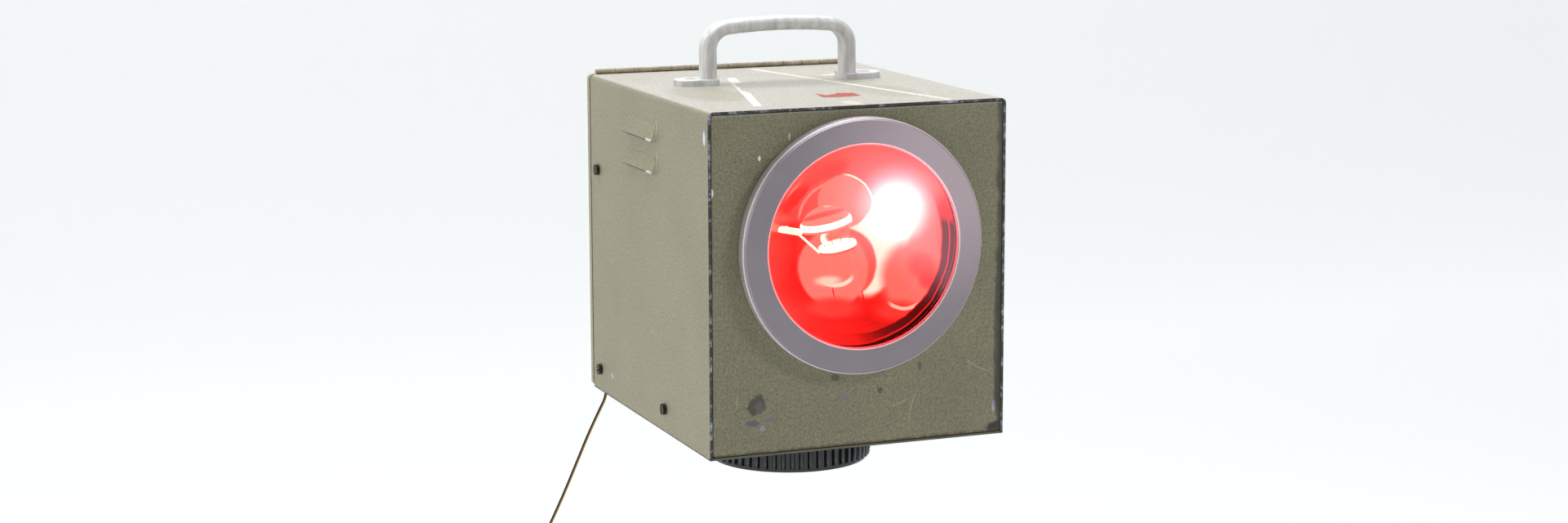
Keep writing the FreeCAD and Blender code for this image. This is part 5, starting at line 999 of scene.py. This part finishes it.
def beam() -> tuple[Patch, ...]:
    """The light and the mirrored shapes in the reflector, the lowest layer first.

    Returns:
        The patches.
    """
    return (
        Patch(12, 34, 66, 34, 0.34, soft=0.45),
        Patch(58, 0, 24, 48, 0.44, soft=0.4),
        Patch(-46, -8, 14, 34, 0.13, soft=0.3),
        Patch(10, -62, 66, 18, -0.012, soft=0.35),
        Patch(-32, -46, 24, 20, 0.0, soft=0.4),
        # upper left: long streaks that follow the spinning
        Patch(-2, 12, 41, 41, 0.55, soft=0.4, band=0.03, near=(-30, 38, 22)),
        Patch(-2, 10, 36, 37, 0.28, soft=0.4, band=0.04, near=(-26, 34, 24)),
        Patch(-3, 10, 31, 32, 0.56, soft=0.4, band=0.03, near=(-26, 30, 20)),
        Patch(-35, 30, 3.4, 15, 0.07, -38, 0.35), Patch(-41, 24, 1.6, 12, 0.04, -32, 0.4),
        Patch(-22, 47, 15, 5, 0.27, 38, 0.5), Patch(-7, 50, 9, 5, 0.24, 30, 0.5),
        # the white glare and its tail down towards the foot of the bubble
        Patch(35, 21, 19, 20, 1.0, soft=0.4), Patch(24, 9, 22, 12, 1.0, soft=0.2),
        Patch(26, -8, 15, 34, 1.0, -24, 0.12),
        Patch(49.5, -27, 24, 27, 0.46, soft=0.2),
        Patch(54, -18, 10, 8, 0.30, -40, 0.5), Patch(57, -27, 5, 6, 0.22, 0, 0.6),
        Patch(36, -50, 16, 7, 0.22, 0, 0.5),
        Patch(41, -30, 17, 18, 0.80, 0, 0.5, 0.07, near=(42, -48, 15)),
        # the shield mirrored above and the bubble mirrored below
        Patch(-1.5, 27, 19, 18, 0.52, soft=0.05),
        Patch(-1.5, 27, 19.6, 18.6, 1.0, 0, 0.3, 0.035, near=(10, 40, 16)),
        Patch(-1, -16, 23, 24.5, 0.36, soft=0.05),
        Patch(-9.1, -20, 25, 27, 0.51, soft=0.06),
        Patch(-9, -48, 20, 7, 0.24, soft=0.5),
        Patch(-7, -20, 14, 11.5, 0.95, 14, 0.5, 0.12, near=(-6, -31, 14)),
        Patch(-13, -28.5, 8, 3.2, 0.86, 4, 0.6),
        # dark gaps near the left rim and the deep shade behind the glass at the lower right
        Patch(-37, -2, 2.2, 8, 0.08, 4, 0.5), Patch(-38, -22, 2.0, 9, 0.06, -8, 0.6),
        Patch(4.6, 0.4, 71.0, 75.0, -0.14, 0, 0.10, 0.12, near=(50, -42, 84)),
        Patch(5.4, -0.4, 66.8, 70.6, 0.05, 0, 0.4, 0.007, near=(56, -34, 66)),
    )


class Shop:
    """Every finish on the lamp, each made once.

    The numbers after a hue are roughness, metallic, the mottle and its size, then the grain's size and its
    depth. The last three are in millimetres.
    """

    def __init__(self) -> None:
        """Makes the materials."""
        # stoved wrinkle enamel, sprayed: satin pebbles that catch the light, painted light on its top and
        # painted shade under the louvres, edges worn to metal and rust
        self.sleeve = sleeve_enamel().build()
        # the same enamel on the front, stained and rubbed by hands
        self.panel = panel_enamel().build()
        # the same enamel on the door, less used: even, with painted light on its top
        self.door = WrinklePaint(
            "wrinkle_enamel_door", "#948F76", 0.5, 0.0, 0.05, 60, 1.5, 0.22, dust=0.3, painted_top_light="#A8A28E",
        ).build()
        # thin brushed primer inside the case: flat, slightly dusty
        self.inner = Finish("brushed_primer", "#5E5B4B", 0.75, 0.0, 0.12, 20, 1.2, 0.03).build()
        # sand-cast aluminium, rubbed by hands: pale matt grey with long soft smears and a coarse grain
        self.cast = Finish(
            "sand_cast_aluminium", "#CFCFCE", 0.58, 0.3, 0.2, 5.0, 0.9, 0.07, stretch=(1.0, 1.0, 0.25),
        ).build()
        # sand-cast aluminium under the case: a darker copy of the handle's cast aluminium
        self.dull_cast = Finish("dull_cast_aluminium", "#6E6E6C", 0.6, 0.5, 0.2, 4.0, 0.9, 0.06).build()
        # lathe-turned anodised aluminium: a dull lilac-grey satin with fine rings, painted highlights on its
        # edges and painted glare light on one side
        self.bezel = TurnedAlloy(
            "turned_anodised_aluminium", "#958D94", 0.48, 0.75, 0.04, 25, grain_depth_mm=0.012,
            painted_highlight_edges_mm=(89.2, 71.6),
        ).build()
        # compression-moulded phenolic, polished: near black with sharp bluish glints
        self.moulding = Finish(
            "polished_phenolic", "#0B0E14", 0.18, 0.0, 0.1, 20, 2.0, 0.01, coat=0.4,
        ).build()
        # machined brass, lightly tarnished: a dull yellow
        self.brass = Finish("tarnished_brass", "#A98A4E", 0.35, 1.0, 0.12, 6, 0.7, 0.01).build()
        # zinc-plated steel: pale, slightly cloudy
        self.steel = Finish("zinc_plated_steel", "#A6A6A8", 0.38, 1.0, 0.1, 5, 0.6, 0.01).build()
        # blackened steel, rubbed: dark brown grey with a dull sheen
        self.dark_steel = Finish("blackened_steel", "#3A332C", 0.45, 0.7, 0.25, 3, 0.6, 0.03).build()
        # nickel plate, slightly yellowed
        self.nickel = Finish("nickel_plate", "#BDB7A9", 0.25, 1.0, 0.06, 8, 0.6, 0.006).build()
        # natural nylon sheet: waxy off-white
        self.nylon = Finish("natural_nylon", "#D6D2C4", 0.45, 0.0, 0.05, 10, 0.8, 0.01).build()
        # pressed selenium-red glass, polished: deep red, with a painted glow of the beam's glare on it
        self.red_glass = TintedGlass("selenium_red_glass", "#FF5752", painted_veil=(
            Patch(24, 30, 46, 36, 0.035, soft=0.7), Patch(60, 18, 24, 46, 0.10, soft=0.5),
            Patch(33, 26, 30, 30, 0.20, soft=0.8), Patch(33.5, 23.5, 19, 19, 0.7, soft=0.7),
            Patch(33.6, 22.7, 11, 11, 1.0, soft=0.6), Patch(70, 2, 7, 40, 0.10, soft=0.5),
        ), painted_veil_hue="#FBE9FF", painted_veil_full=1.15).build()
        # closed-cell sponge rubber: matt black
        self.sponge = Finish("sponge_rubber", "#1B1B1B", 0.9, 0.0, 0.2, 3, 0.6, 0.08).build()
        # spun brass with chrome plate, polished: the bulb's light and the mirrored shield in soft patches
        self.mirror = LitSurface(
            "plated_reflector", "#171414", 0.3, 1.0, grain_mm=18, level=0.15, rings=0.04, patches=beam(),
        ).build()
        # fired steatite holder in front of the reflector, washed with the same light
        self.ceramic = LitSurface("fired_steatite_lit", "#1A1817", 0.7, level=0.15, patches=beam()).build()
        # spun aluminium shield over the filament: its rim burns white, its dome carries soft reflections
        self.spun = LitSurface(
            "spun_aluminium_shield", "#4A4848", 0.35, 0.6, level=0.57, waver_mm=0.6,
            patches=(
                Patch(-16, 17.6, 21, 1.8, 0.38, 15, 0.4),
                Patch(-24, 22, 12, 10, 0.86, 20, 0.25, 0.07, near=(-27, 24, 13)),
                Patch(-13.8, 24.6, 3.0, 1.8, 0.9, 10, 0.3), Patch(-8, 34, 18, 8, 0.46, 20, 0.6),
            ),
            rims=(Rim((-0.0079, LAMP.bulb_y, LAMP.lamp_up + 0.0089)),),
        ).build()
        # nickel-plated collar of the bulb, its edge as bright as the shield's
        self.collar = LitSurface("nickel_plate_lit", "#4A4743", 0.3, 0.8, level=0.36, waver_mm=0.6, patches=(
            Patch(-9, -22, 26, 14, 0.48, soft=0.3),
        ), rims=(Rim((0.0009, LAMP.bulb_y, LAMP.lamp_up - 0.0078)),)).build()
        # polished steel strut, so close to the filament that it is white
        self.lit_strut = LitMetal("polished_steel_lit", "#D8D8D6", 0.4, 1.0, glow=150.0).build()
        # blown soda glass: all but unseen, with a painted glow where the filament shines through it
        self.clear_glass = TintedGlass("blown_soda_glass", "#FBFBFA", gloss=0.02, painted_veil=(
            Patch(-6, 0, 30, 22, 0.06, soft=0.3), Patch(-15.2, 1.4, 3.0, 4.4, 1.0, -25, 0.3),
            Patch(-8, 3.5, 8, 4.5, 0.02, 20, 0.4),
        ), painted_veil_full=60.0).build()
        # coiled tungsten at white heat
        self.tungsten = LitMetal(
            "burning_tungsten", "#807C78", 0.5, 1.0, glow=14.0, glow_hue="#FFE9D2",
        ).build()
        # moulded phenolic, unpolished: dark brown
        self.block = Finish("brown_phenolic", "#3A2B22", 0.4, 0.0, 0.08, 6, 0.8, 0.02).build()
        # extruded vinyl sheath of the inner wires, red and black: soft and slightly shiny
        self.red_vinyl = Finish("red_vinyl", "#7D1E18", 0.45, 0.0, 0.05, 8, 0.8, 0.01).build()
        self.black_vinyl = Finish("black_vinyl", "#161616", 0.4, 0.0, 0.1, 8, 0.8, 0.01).build()
        # aged vinyl strand of the twin lead, yellowed
        self.ochre_vinyl = Finish("yellowed_vinyl", "#C79A4C", 0.45, 0.0, 0.1, 8, 0.8, 0.01).build()
        # the same enamel on the hinge, rubbed brown along its knuckles
        self.hinge = Finish("rubbed_enamel_hinge", "#A0967F", 0.5, 0.0, 0.3, 6, 1.2, 0.05).build()
        # cloth tape and its glue, dried on the enamel: chalky white, torn and dirty
        self.tape = Finish("dried_cloth_tape", "#D3D0C7", 0.85, 0.0, 0.12, 5, 0.5, 0.05).build()
        # brushed red lacquer, worn thin
        self.red_lacquer = Finish("worn_red_lacquer", "#A24636", 0.7, 0.0, 0.25, 3, 0.8, 0.03).build()


# Sub-assemblies


@dataclass
class Assembly:
    """A sub-assembly: CAD nodes by finish, and pieces of its own."""

    shop: Shop

    def dress(self, finish: Material, *nodes: str) -> None:
        """Gives CAD nodes a finish.

        Args:
            finish: the material.
            *nodes: the nodes' names.
        """
        for name in nodes:
            mesh = frame["nodes"][name].data
            mesh.materials.clear()
            mesh.materials.append(finish)
            LOG.info("node %s: %s", name, finish.name)

    def build(self) -> None:
        """Dresses the nodes and makes the pieces."""
        raise NotImplementedError


@dataclass
class TurningBase(Assembly):
    """The ribbed base, its bush and the spindle that the case turns on. A crest is round, with blunt ends."""

    rib_count: int = 56
    crest_out: float = 0.0592
    crest_radius: float = 0.00135
    crest_low: float = 0.0022
    crest_high: float = 0.0308
    crest_rings: int = 9
    crest_sides: int = 10
    bluntness: float = 8.0
    tip_share: float = 0.12

    def build(self) -> None:
        """Dresses the nodes and rounds the ribs' crests."""
        shop = self.shop
        self.dress(shop.moulding, "base_band")
        self.dress(shop.dull_cast, "turning_base")
        self.dress(shop.brass, "tripod_bush")
        self.dress(shop.steel, "bush_screws", "pan_spindle", "pan_nut", "friction_washer")
        self.dress(shop.nylon, "thrust_washer")
        self.crests()

    def crests(self) -> Object:
        """Makes the rounded crests by Geometry Nodes.

        Returns:
            Their piece.
        """
        tree = bpy.data.node_groups.new("rib_crests", "GeometryNodeTree")
        tree.interface.new_socket("Geometry", in_out="OUTPUT", socket_type="NodeSocketGeometry")
        sizes = {
            "Count": ("NodeSocketInt", self.rib_count),
            "Out": ("NodeSocketFloat", self.crest_out),
            "Crest radius": ("NodeSocketFloat", self.crest_radius),
            "Low": ("NodeSocketFloat", self.crest_low),
            "High": ("NodeSocketFloat", self.crest_high),
        }
        keys = {}
        for name, (kind, _) in sizes.items():
            keys[name] = tree.interface.new_socket(name, in_out="INPUT", socket_type=kind).identifier
        given = put(tree, "NodeGroupInput").outputs
        ring = put(tree, "GeometryNodeMeshCircle", {"Vertices": given["Count"], "Radius": given["Out"]})
        low = put(tree, "ShaderNodeCombineXYZ", {"Z": given["Low"]})
        high = put(tree, "ShaderNodeCombineXYZ", {"Z": given["High"]})
        line = put(tree, "GeometryNodeCurvePrimitiveLine", {"Start": low, "End": high})
        stops = put(tree, "GeometryNodeResampleCurve", {"Curve": line, "Count": self.crest_rings})
        share = put(tree, "GeometryNodeSplineParameter")
        centred = put(tree, "ShaderNodeMath", {0: share, 1: 2.0, 2: -1.0}, operation="MULTIPLY_ADD")
        steep = put(tree, "ShaderNodeMath", {0: centred, 1: self.bluntness}, operation="POWER")
        rest = put(tree, "ShaderNodeMath", {0: 1.0, 1: steep}, operation="SUBTRACT")
        round_off = put(tree, "ShaderNodeMath", {0: rest, 1: 0.5}, operation="POWER")
        wide = put(tree, "ShaderNodeMath", {0: round_off, 1: self.tip_share}, operation="MAXIMUM")
        section = put(tree, "GeometryNodeCurvePrimitiveCircle", {
            "Resolution": self.crest_sides, "Radius": given["Crest radius"],
        })
        swell = put(tree, "GeometryNodeSetCurveRadius", {"Curve": stops, "Radius": wide})
        bar = put(tree, "GeometryNodeCurveToMesh", {
            "Curve": swell, "Profile Curve": section, "Scale": wide, "Fill Caps": True,
        })
        placed = put(tree, "GeometryNodeInstanceOnPoints", {"Points": ring, "Instance": bar})
        real = put(tree, "GeometryNodeRealizeInstances", {0: placed})
        smooth = put(tree, "GeometryNodeSetShadeSmooth", {0: real})
        put(tree, "NodeGroupOutput", {
            0: put(tree, "GeometryNodeSetMaterial", {0: smooth, "Material": self.shop.moulding}),
        })
        holder = bpy.data.objects.new("crest_holder", bpy.data.meshes.new("crest_holder"))
        grow = holder.modifiers.new("grow", "NODES")
        grow.node_group = tree
        for name, (_, value) in sizes.items():
            grow[keys[name]] = value
        mesh = settled_mesh(holder)
        mesh.name = "rib_crests"
        return new_piece("rib_crests", mesh, "pan_base", "black_moulding", self.shop.moulding)


@dataclass
class Case(Assembly):
    """The folded case with its panel, screws, handle and hinge leaf, and the marks on it."""

    mark_thickness: float = 0.00012

    def build(self) -> None:
        """Dresses the nodes and lays the marks on."""
        shop = self.shop
        self.dress(shop.sleeve, "case_sleeve")
        self.dress(shop.panel, "front_panel")
        self.dress(shop.inner, "base_tray", "rear_frame", "socket_bracket")
        self.dress(shop.cast, "carry_handle")
        self.dress(
            shop.steel, "handle_screws", "handle_washers", "handle_nuts", "ring_screws", "bracket_screws",
            "hinge_pin",
        )
        self.dress(shop.dark_steel, "side_screws_right", "side_screws_left")
        self.dress(shop.hinge, "case_hinge_leaf")
        self.marks()

    def marks(self) -> None:
        """Lays the dried tape and the red lacquer on the top. Their corners are in millimetres."""
        tape, lacquer = (self.shop.tape, "nylon"), (self.shop.red_lacquer, "red_sheath")
        for name, (finish, slot), outline in (
            ("tape_strip", tape, (
                (-25.7, 58), (-18.5, 60.8), (-26, 26), (-33, 21), (-37.5, 8), (-38, -2), (-43.5, -16),
                (-44.5, -40), (-64.5, -114.5), (-70.5, -114), (-55.2, -55.7), (-47, -24), (-40.5, 2),
                (-36.5, 18),
            )),
            ("tape_line", tape, ((12.3, 112.6), (17.1, 113.4), (72.8, -127.4), (68.2, -128.6))),
            ("lacquer_mark", lacquer, (
                (-2.1, -58.2), (-6.1, -80.7), (4.4, -83.5), (17.7, -83), (22.8, -81), (24.1, -64), (13, -61),
                (9.7, -66), (0.2, -70.3),
            )),
            ("tape_scrap", tape, ((45.6, 51.4), (58.5, 56.6), (62.1, 55.1), (59.9, 49.9), (48.1, 47.3))),
        ):
            corners = [(x * MM, y * MM, LAMP.top) for x, y in outline]
            lift = Vector((0.0, 0.0, self.mark_thickness))
            new_piece(name, slab_mesh(name, corners, lift), "case", slot, finish)


@dataclass
class LampFront(Assembly):
    """The bezel with its red glass, the reflector, and the bulb with its shield, its coil and two posts."""

    filament_turns: int = 14
    filament_steps: int = 12
    filament_length: float = 0.0062
    filament_out: float = 0.0009
    filament_rise: float = 0.0022
    wire_radius: float = 0.00016
    wire_sides: int = 8
    post_radius: float = 0.0003
    post_length: float = 0.0045

    def build(self) -> None:
        """Dresses the nodes and winds the filament."""
        shop = self.shop
        self.dress(shop.bezel, "bezel_ring", "bayonet_ring")
        self.dress(shop.sponge, "front_gasket", "rear_gasket")
        self.dress(shop.red_glass, "filter_glass")
        self.dress(shop.steel, "retaining_ring")
        self.dress(shop.mirror, "reflector")
        self.dress(shop.clear_glass, "bulb_glass")
        self.dress(shop.collar, "bulb_cap")
        self.dress(shop.lit_strut, "shield_arm", "arm_nut")
        self.dress(shop.spun, "bulb_shield")
        self.dress(shop.ceramic, "bulb_socket")
        self.filament()

    def filament(self) -> Object:
        """Winds the filament's coil and sets its two posts.

        Returns:
            The piece.
        """
        low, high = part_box("bulb_filament")
        lean = Matrix.Rotation(-LAMP.bulb_lean, 3, "Y")
        up, across, forth = (lean @ Vector(axis) for axis in ((0, 0, 1), (1, 0, 0), (0, 1, 0)))
        centre = (low + high) / 2 + up * self.filament_rise
        steps = self.filament_turns * self.filament_steps
        coil = []
        for i in range(steps + 1):
            turn = 2 * math.pi * i / self.filament_steps
            out = self.filament_out * (math.cos(turn) * up + math.sin(turn) * forth)
            coil.append(centre + across * (i / steps - 0.5) * self.filament_length + out)
        parts = [(coil, self.wire_radius)]
        for side in (-1, 1):
            head = centre + across * side * (self.filament_length / 2 + self.post_radius)
            parts.append(([head, head - up * self.post_length], self.post_radius))
        shape = bmesh.new()
        for path, radius in parts:
            mesh = tube_mesh("filament_part", path, radius, self.wire_sides)
            shape.from_mesh(mesh)
            bpy.data.meshes.remove(mesh)
        mesh = plain_mesh("filament_coil", shape)
        piece = new_piece("filament_coil", mesh, "case", "tungsten", self.shop.tungsten)
        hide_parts("bulb_filament")
        return piece


@dataclass
class Wiring(Assembly):
    """Terminal block, inner wires, and the twin lead with its plug, on a listed route."""

    route: tuple[Point, ...] = (
        (-0.1036, 0.117, 0.037), (-0.1036, 0.117, 0.029), (-0.110, 0.117, 0.017), (-0.1183, 0.117, 0.0008),
        (-0.1284, 0.117, -0.0215), (-0.1412, 0.117, -0.050), (-0.1548, 0.117, -0.0765),
    )
    route_steps: int = 16
    strand_radius: float = 0.0006
    strand_sides: int = 14
    width: float = 0.0024
    length: float = 0.1252

    def build(self) -> None:
        """Dresses the nodes and lays the lead."""
        shop = self.shop
        self.dress(shop.block, "terminal_block")
        self.dress(shop.steel, "terminal_screws")
        self.dress(shop.red_vinyl, "live_wire")
        self.dress(shop.black_vinyl, "return_wire", "lead_tail", "lead_plug")
        self.dress(shop.sponge, "lead_grommet")
        self.dress(shop.brass, "plug_pins")
        self.lead()

    def middle_line(self) -> list[Vector]:
        """Reads the lead's middle line from the NURBS spline along its route.

        Returns:
            Its points.
        """
        curve = bpy.data.curves.new("lead_line", "CURVE")
        curve.dimensions = "3D"
        curve.resolution_u = self.route_steps
        spline = curve.splines.new("NURBS")
        spline.points.add(len(self.route) - 1)
        for point, place in zip(spline.points, self.route):
            point.co = (*place, 1.0)
        spline.order_u = 3
        spline.use_endpoint_u = True
        mesh = settled_mesh(bpy.data.objects.new("lead_line", curve))
        line = [vertex.co.copy() for vertex in mesh.vertices]
        bpy.data.meshes.remove(mesh)
        return line

    def lead(self) -> Object:
        """Lays the two strands side by side.

        Returns:
            The piece.
        """
        line = self.middle_line()
        shape = bmesh.new()
        for index, side in enumerate((-1, 1)):
            shifted = []
            for i, point in enumerate(line):
                beside = Vector((0, 1, 0)).cross(along(line, i)).normalized()
                shifted.append(point - beside * side * self.strand_radius)
            mesh = tube_mesh("strand", shifted, self.strand_radius, self.strand_sides)
            for face in mesh.polygons:
                face.material_index = index
            shape.from_mesh(mesh)
            bpy.data.meshes.remove(mesh)
        vinyls = (self.shop.black_vinyl, self.shop.ochre_vinyl)
        piece = new_piece("twin_lead", plain_mesh("twin_lead", shape), "case", "black_sheath", *vinyls)
        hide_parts("signal_lead")
        return piece


@dataclass
class RearDoor(Assembly):
    """The door with its hinge leaf, seal and coin-slot latch."""

    def build(self) -> None:
        """Dresses the nodes."""
        shop = self.shop
        self.dress(shop.door, "rear_door")
        self.dress(shop.hinge, "door_hinge_leaf")
        self.dress(shop.sponge, "door_seal")
        self.dress(shop.nickel, "latch_knob")
        self.dress(shop.steel, "latch_cam", "latch_nut")


# Studio


@dataclass
class Studio:
    """The camera at the photograph's place, a pale sweep behind and under the lamp, and soft light."""

    eye: Point = (-0.75956, -1.90476, 0.50509)
    azimuth: float = -21.649
    elevation: float = 9.961
    roll: float = -0.165
    aim: Point = (0.0, 0.0, 0.16)
    lens: float = 65.025
    sensor: float = 36.0
    floor_level: float = -1.05
    floor_half_width: float = 9.0
    floor_front: float = -7.0
    wall_foot: float = 5.0
    wall_bend: float = 2.0
    wall_top: float = 9.0
    bend_step: int = 6
    wall_roughness: float = 0.9
    wall_glow: float = 0.44
    air_glow: float = 0.35

    def camera(self) -> None:
        """Sets up the camera."""
        azimuth, elevation, roll = (math.radians(a) for a in (self.azimuth, self.elevation, self.roll))
        level = math.cos(elevation)
        back = Vector((math.sin(azimuth) * level, -math.cos(azimuth) * level, math.sin(elevation)))
        right = (-back).cross(Vector((0, 0, 1))).normalized()
        up = right.cross(-back)
        turned = math.cos(roll) * right + math.sin(roll) * up
        over = -math.sin(roll) * right + math.cos(roll) * up
        data = bpy.data.cameras.new("camera")
        data.lens = self.lens
        data.sensor_width = self.sensor
        data.sensor_fit = "HORIZONTAL"
        data.clip_start = 0.05
        data.clip_end = 100.0
        camera = bpy.data.objects.new("camera", data)
        place = Matrix((turned, over, back)).transposed().to_4x4()
        place.translation = Vector(self.eye)
        camera.matrix_world = place
        bpy.context.scene.collection.objects.link(camera)
        bpy.context.scene.camera = camera

    def sweep(self) -> None:
        """Makes the pale floor that curves up into the backdrop."""
        foot, bend = self.wall_foot, self.wall_bend
        profile = [(self.floor_front, 0.0), (foot, 0.0)]
        for degrees in range(self.bend_step, 91, self.bend_step):
            turn = math.radians(degrees)
            profile.append((foot + bend * math.sin(turn), bend - bend * math.cos(turn)))
        profile.append((foot + bend, self.wall_top))
        shape = bmesh.new()
        left, right = (
            [shape.verts.new((x, y, self.floor_level + z)) for y, z in profile]
            for x in (-self.floor_half_width, self.floor_half_width)
        )
        for i in range(len(profile) - 1):
            shape.faces.new((left[i], right[i], right[i + 1], left[i + 1]))
        mesh = plain_mesh("pale_sweep", shape)
        for face in mesh.polygons:
            face.use_smooth = True
        # matt painted wall, lit so evenly that it glows
        swatch = Swatch("painted_studio_wall", "#F4F6F7")
        mesh.materials.append(swatch.end(put(swatch.tree, "ShaderNodeBsdfPrincipled", {
            "Base Color": swatch.colour, "Roughness": self.wall_roughness,
            "Emission Color": linear("#F9FBFA"), "Emission Strength": self.wall_glow,
        })))
        sweep = bpy.data.objects.new("pale_sweep", mesh)
        bpy.context.scene.collection.objects.link(sweep)
        sweep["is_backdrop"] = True

    def light(self, name: str, place: Point, size: float, power: float, hue: str) -> None:
        """Hangs a square soft light that faces the lamp.

        Args:
            name: its name.
            place: where it hangs.
            size: its side.
            power: in watts.
            hue: its colour.
        """
        data = bpy.data.lights.new(name, "AREA")
        data.size = size
        data.energy = power
        data.color = linear(hue)[:3]
        lamp = bpy.data.objects.new(name, data)
        lamp.location = place
        lamp.rotation_euler = (Vector(self.aim) - Vector(place)).to_track_quat("-Z", "Y").to_euler()
        lamp.visible_camera = False
        bpy.context.scene.collection.objects.link(lamp)

    def build(self) -> None:
        """Sets up camera, sweep, world and lights."""
        self.camera()
        self.sweep()
        world = bpy.data.worlds.new("studio_air")
        world.use_nodes = True
        air = world.node_tree.nodes["Background"].inputs
        air["Color"].default_value = linear("#F7FAFC")
        air["Strength"].default_value = self.air_glow
        bpy.context.scene.world = world
        self.light("overhead", (-0.1, 0.7, 2.3), size=2.0, power=66.0, hue="#FBFAFF")
        self.light("left_side", (-2.3, 0.2, 0.9), size=1.8, power=25.0, hue="#FFFBF6")
        self.light("front_key", (1.7, -1.5, 1.5), size=0.5, power=20.0, hue="#FFFFFF")
        bpy.context.scene.view_settings.view_transform = "Standard"


def corners() -> list[list[float]]:
    """The lowest and the highest corner of the whole object, as plain lists."""
    return [[float(v) for v in corner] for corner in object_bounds()]


def main() -> None:
    """Builds the lamp's sub-assemblies and the studio."""
    logging.basicConfig(level=logging.INFO, format="%(message)s")
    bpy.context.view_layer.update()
    shop = Shop()
    for part in (TurningBase(shop), Case(shop), LampFront(shop), Wiring(shop), RearDoor(shop)):
        LOG.info("building %s", type(part).__name__)
        part.build()
    Studio().build()


if __name__ == "__main__":
    main()
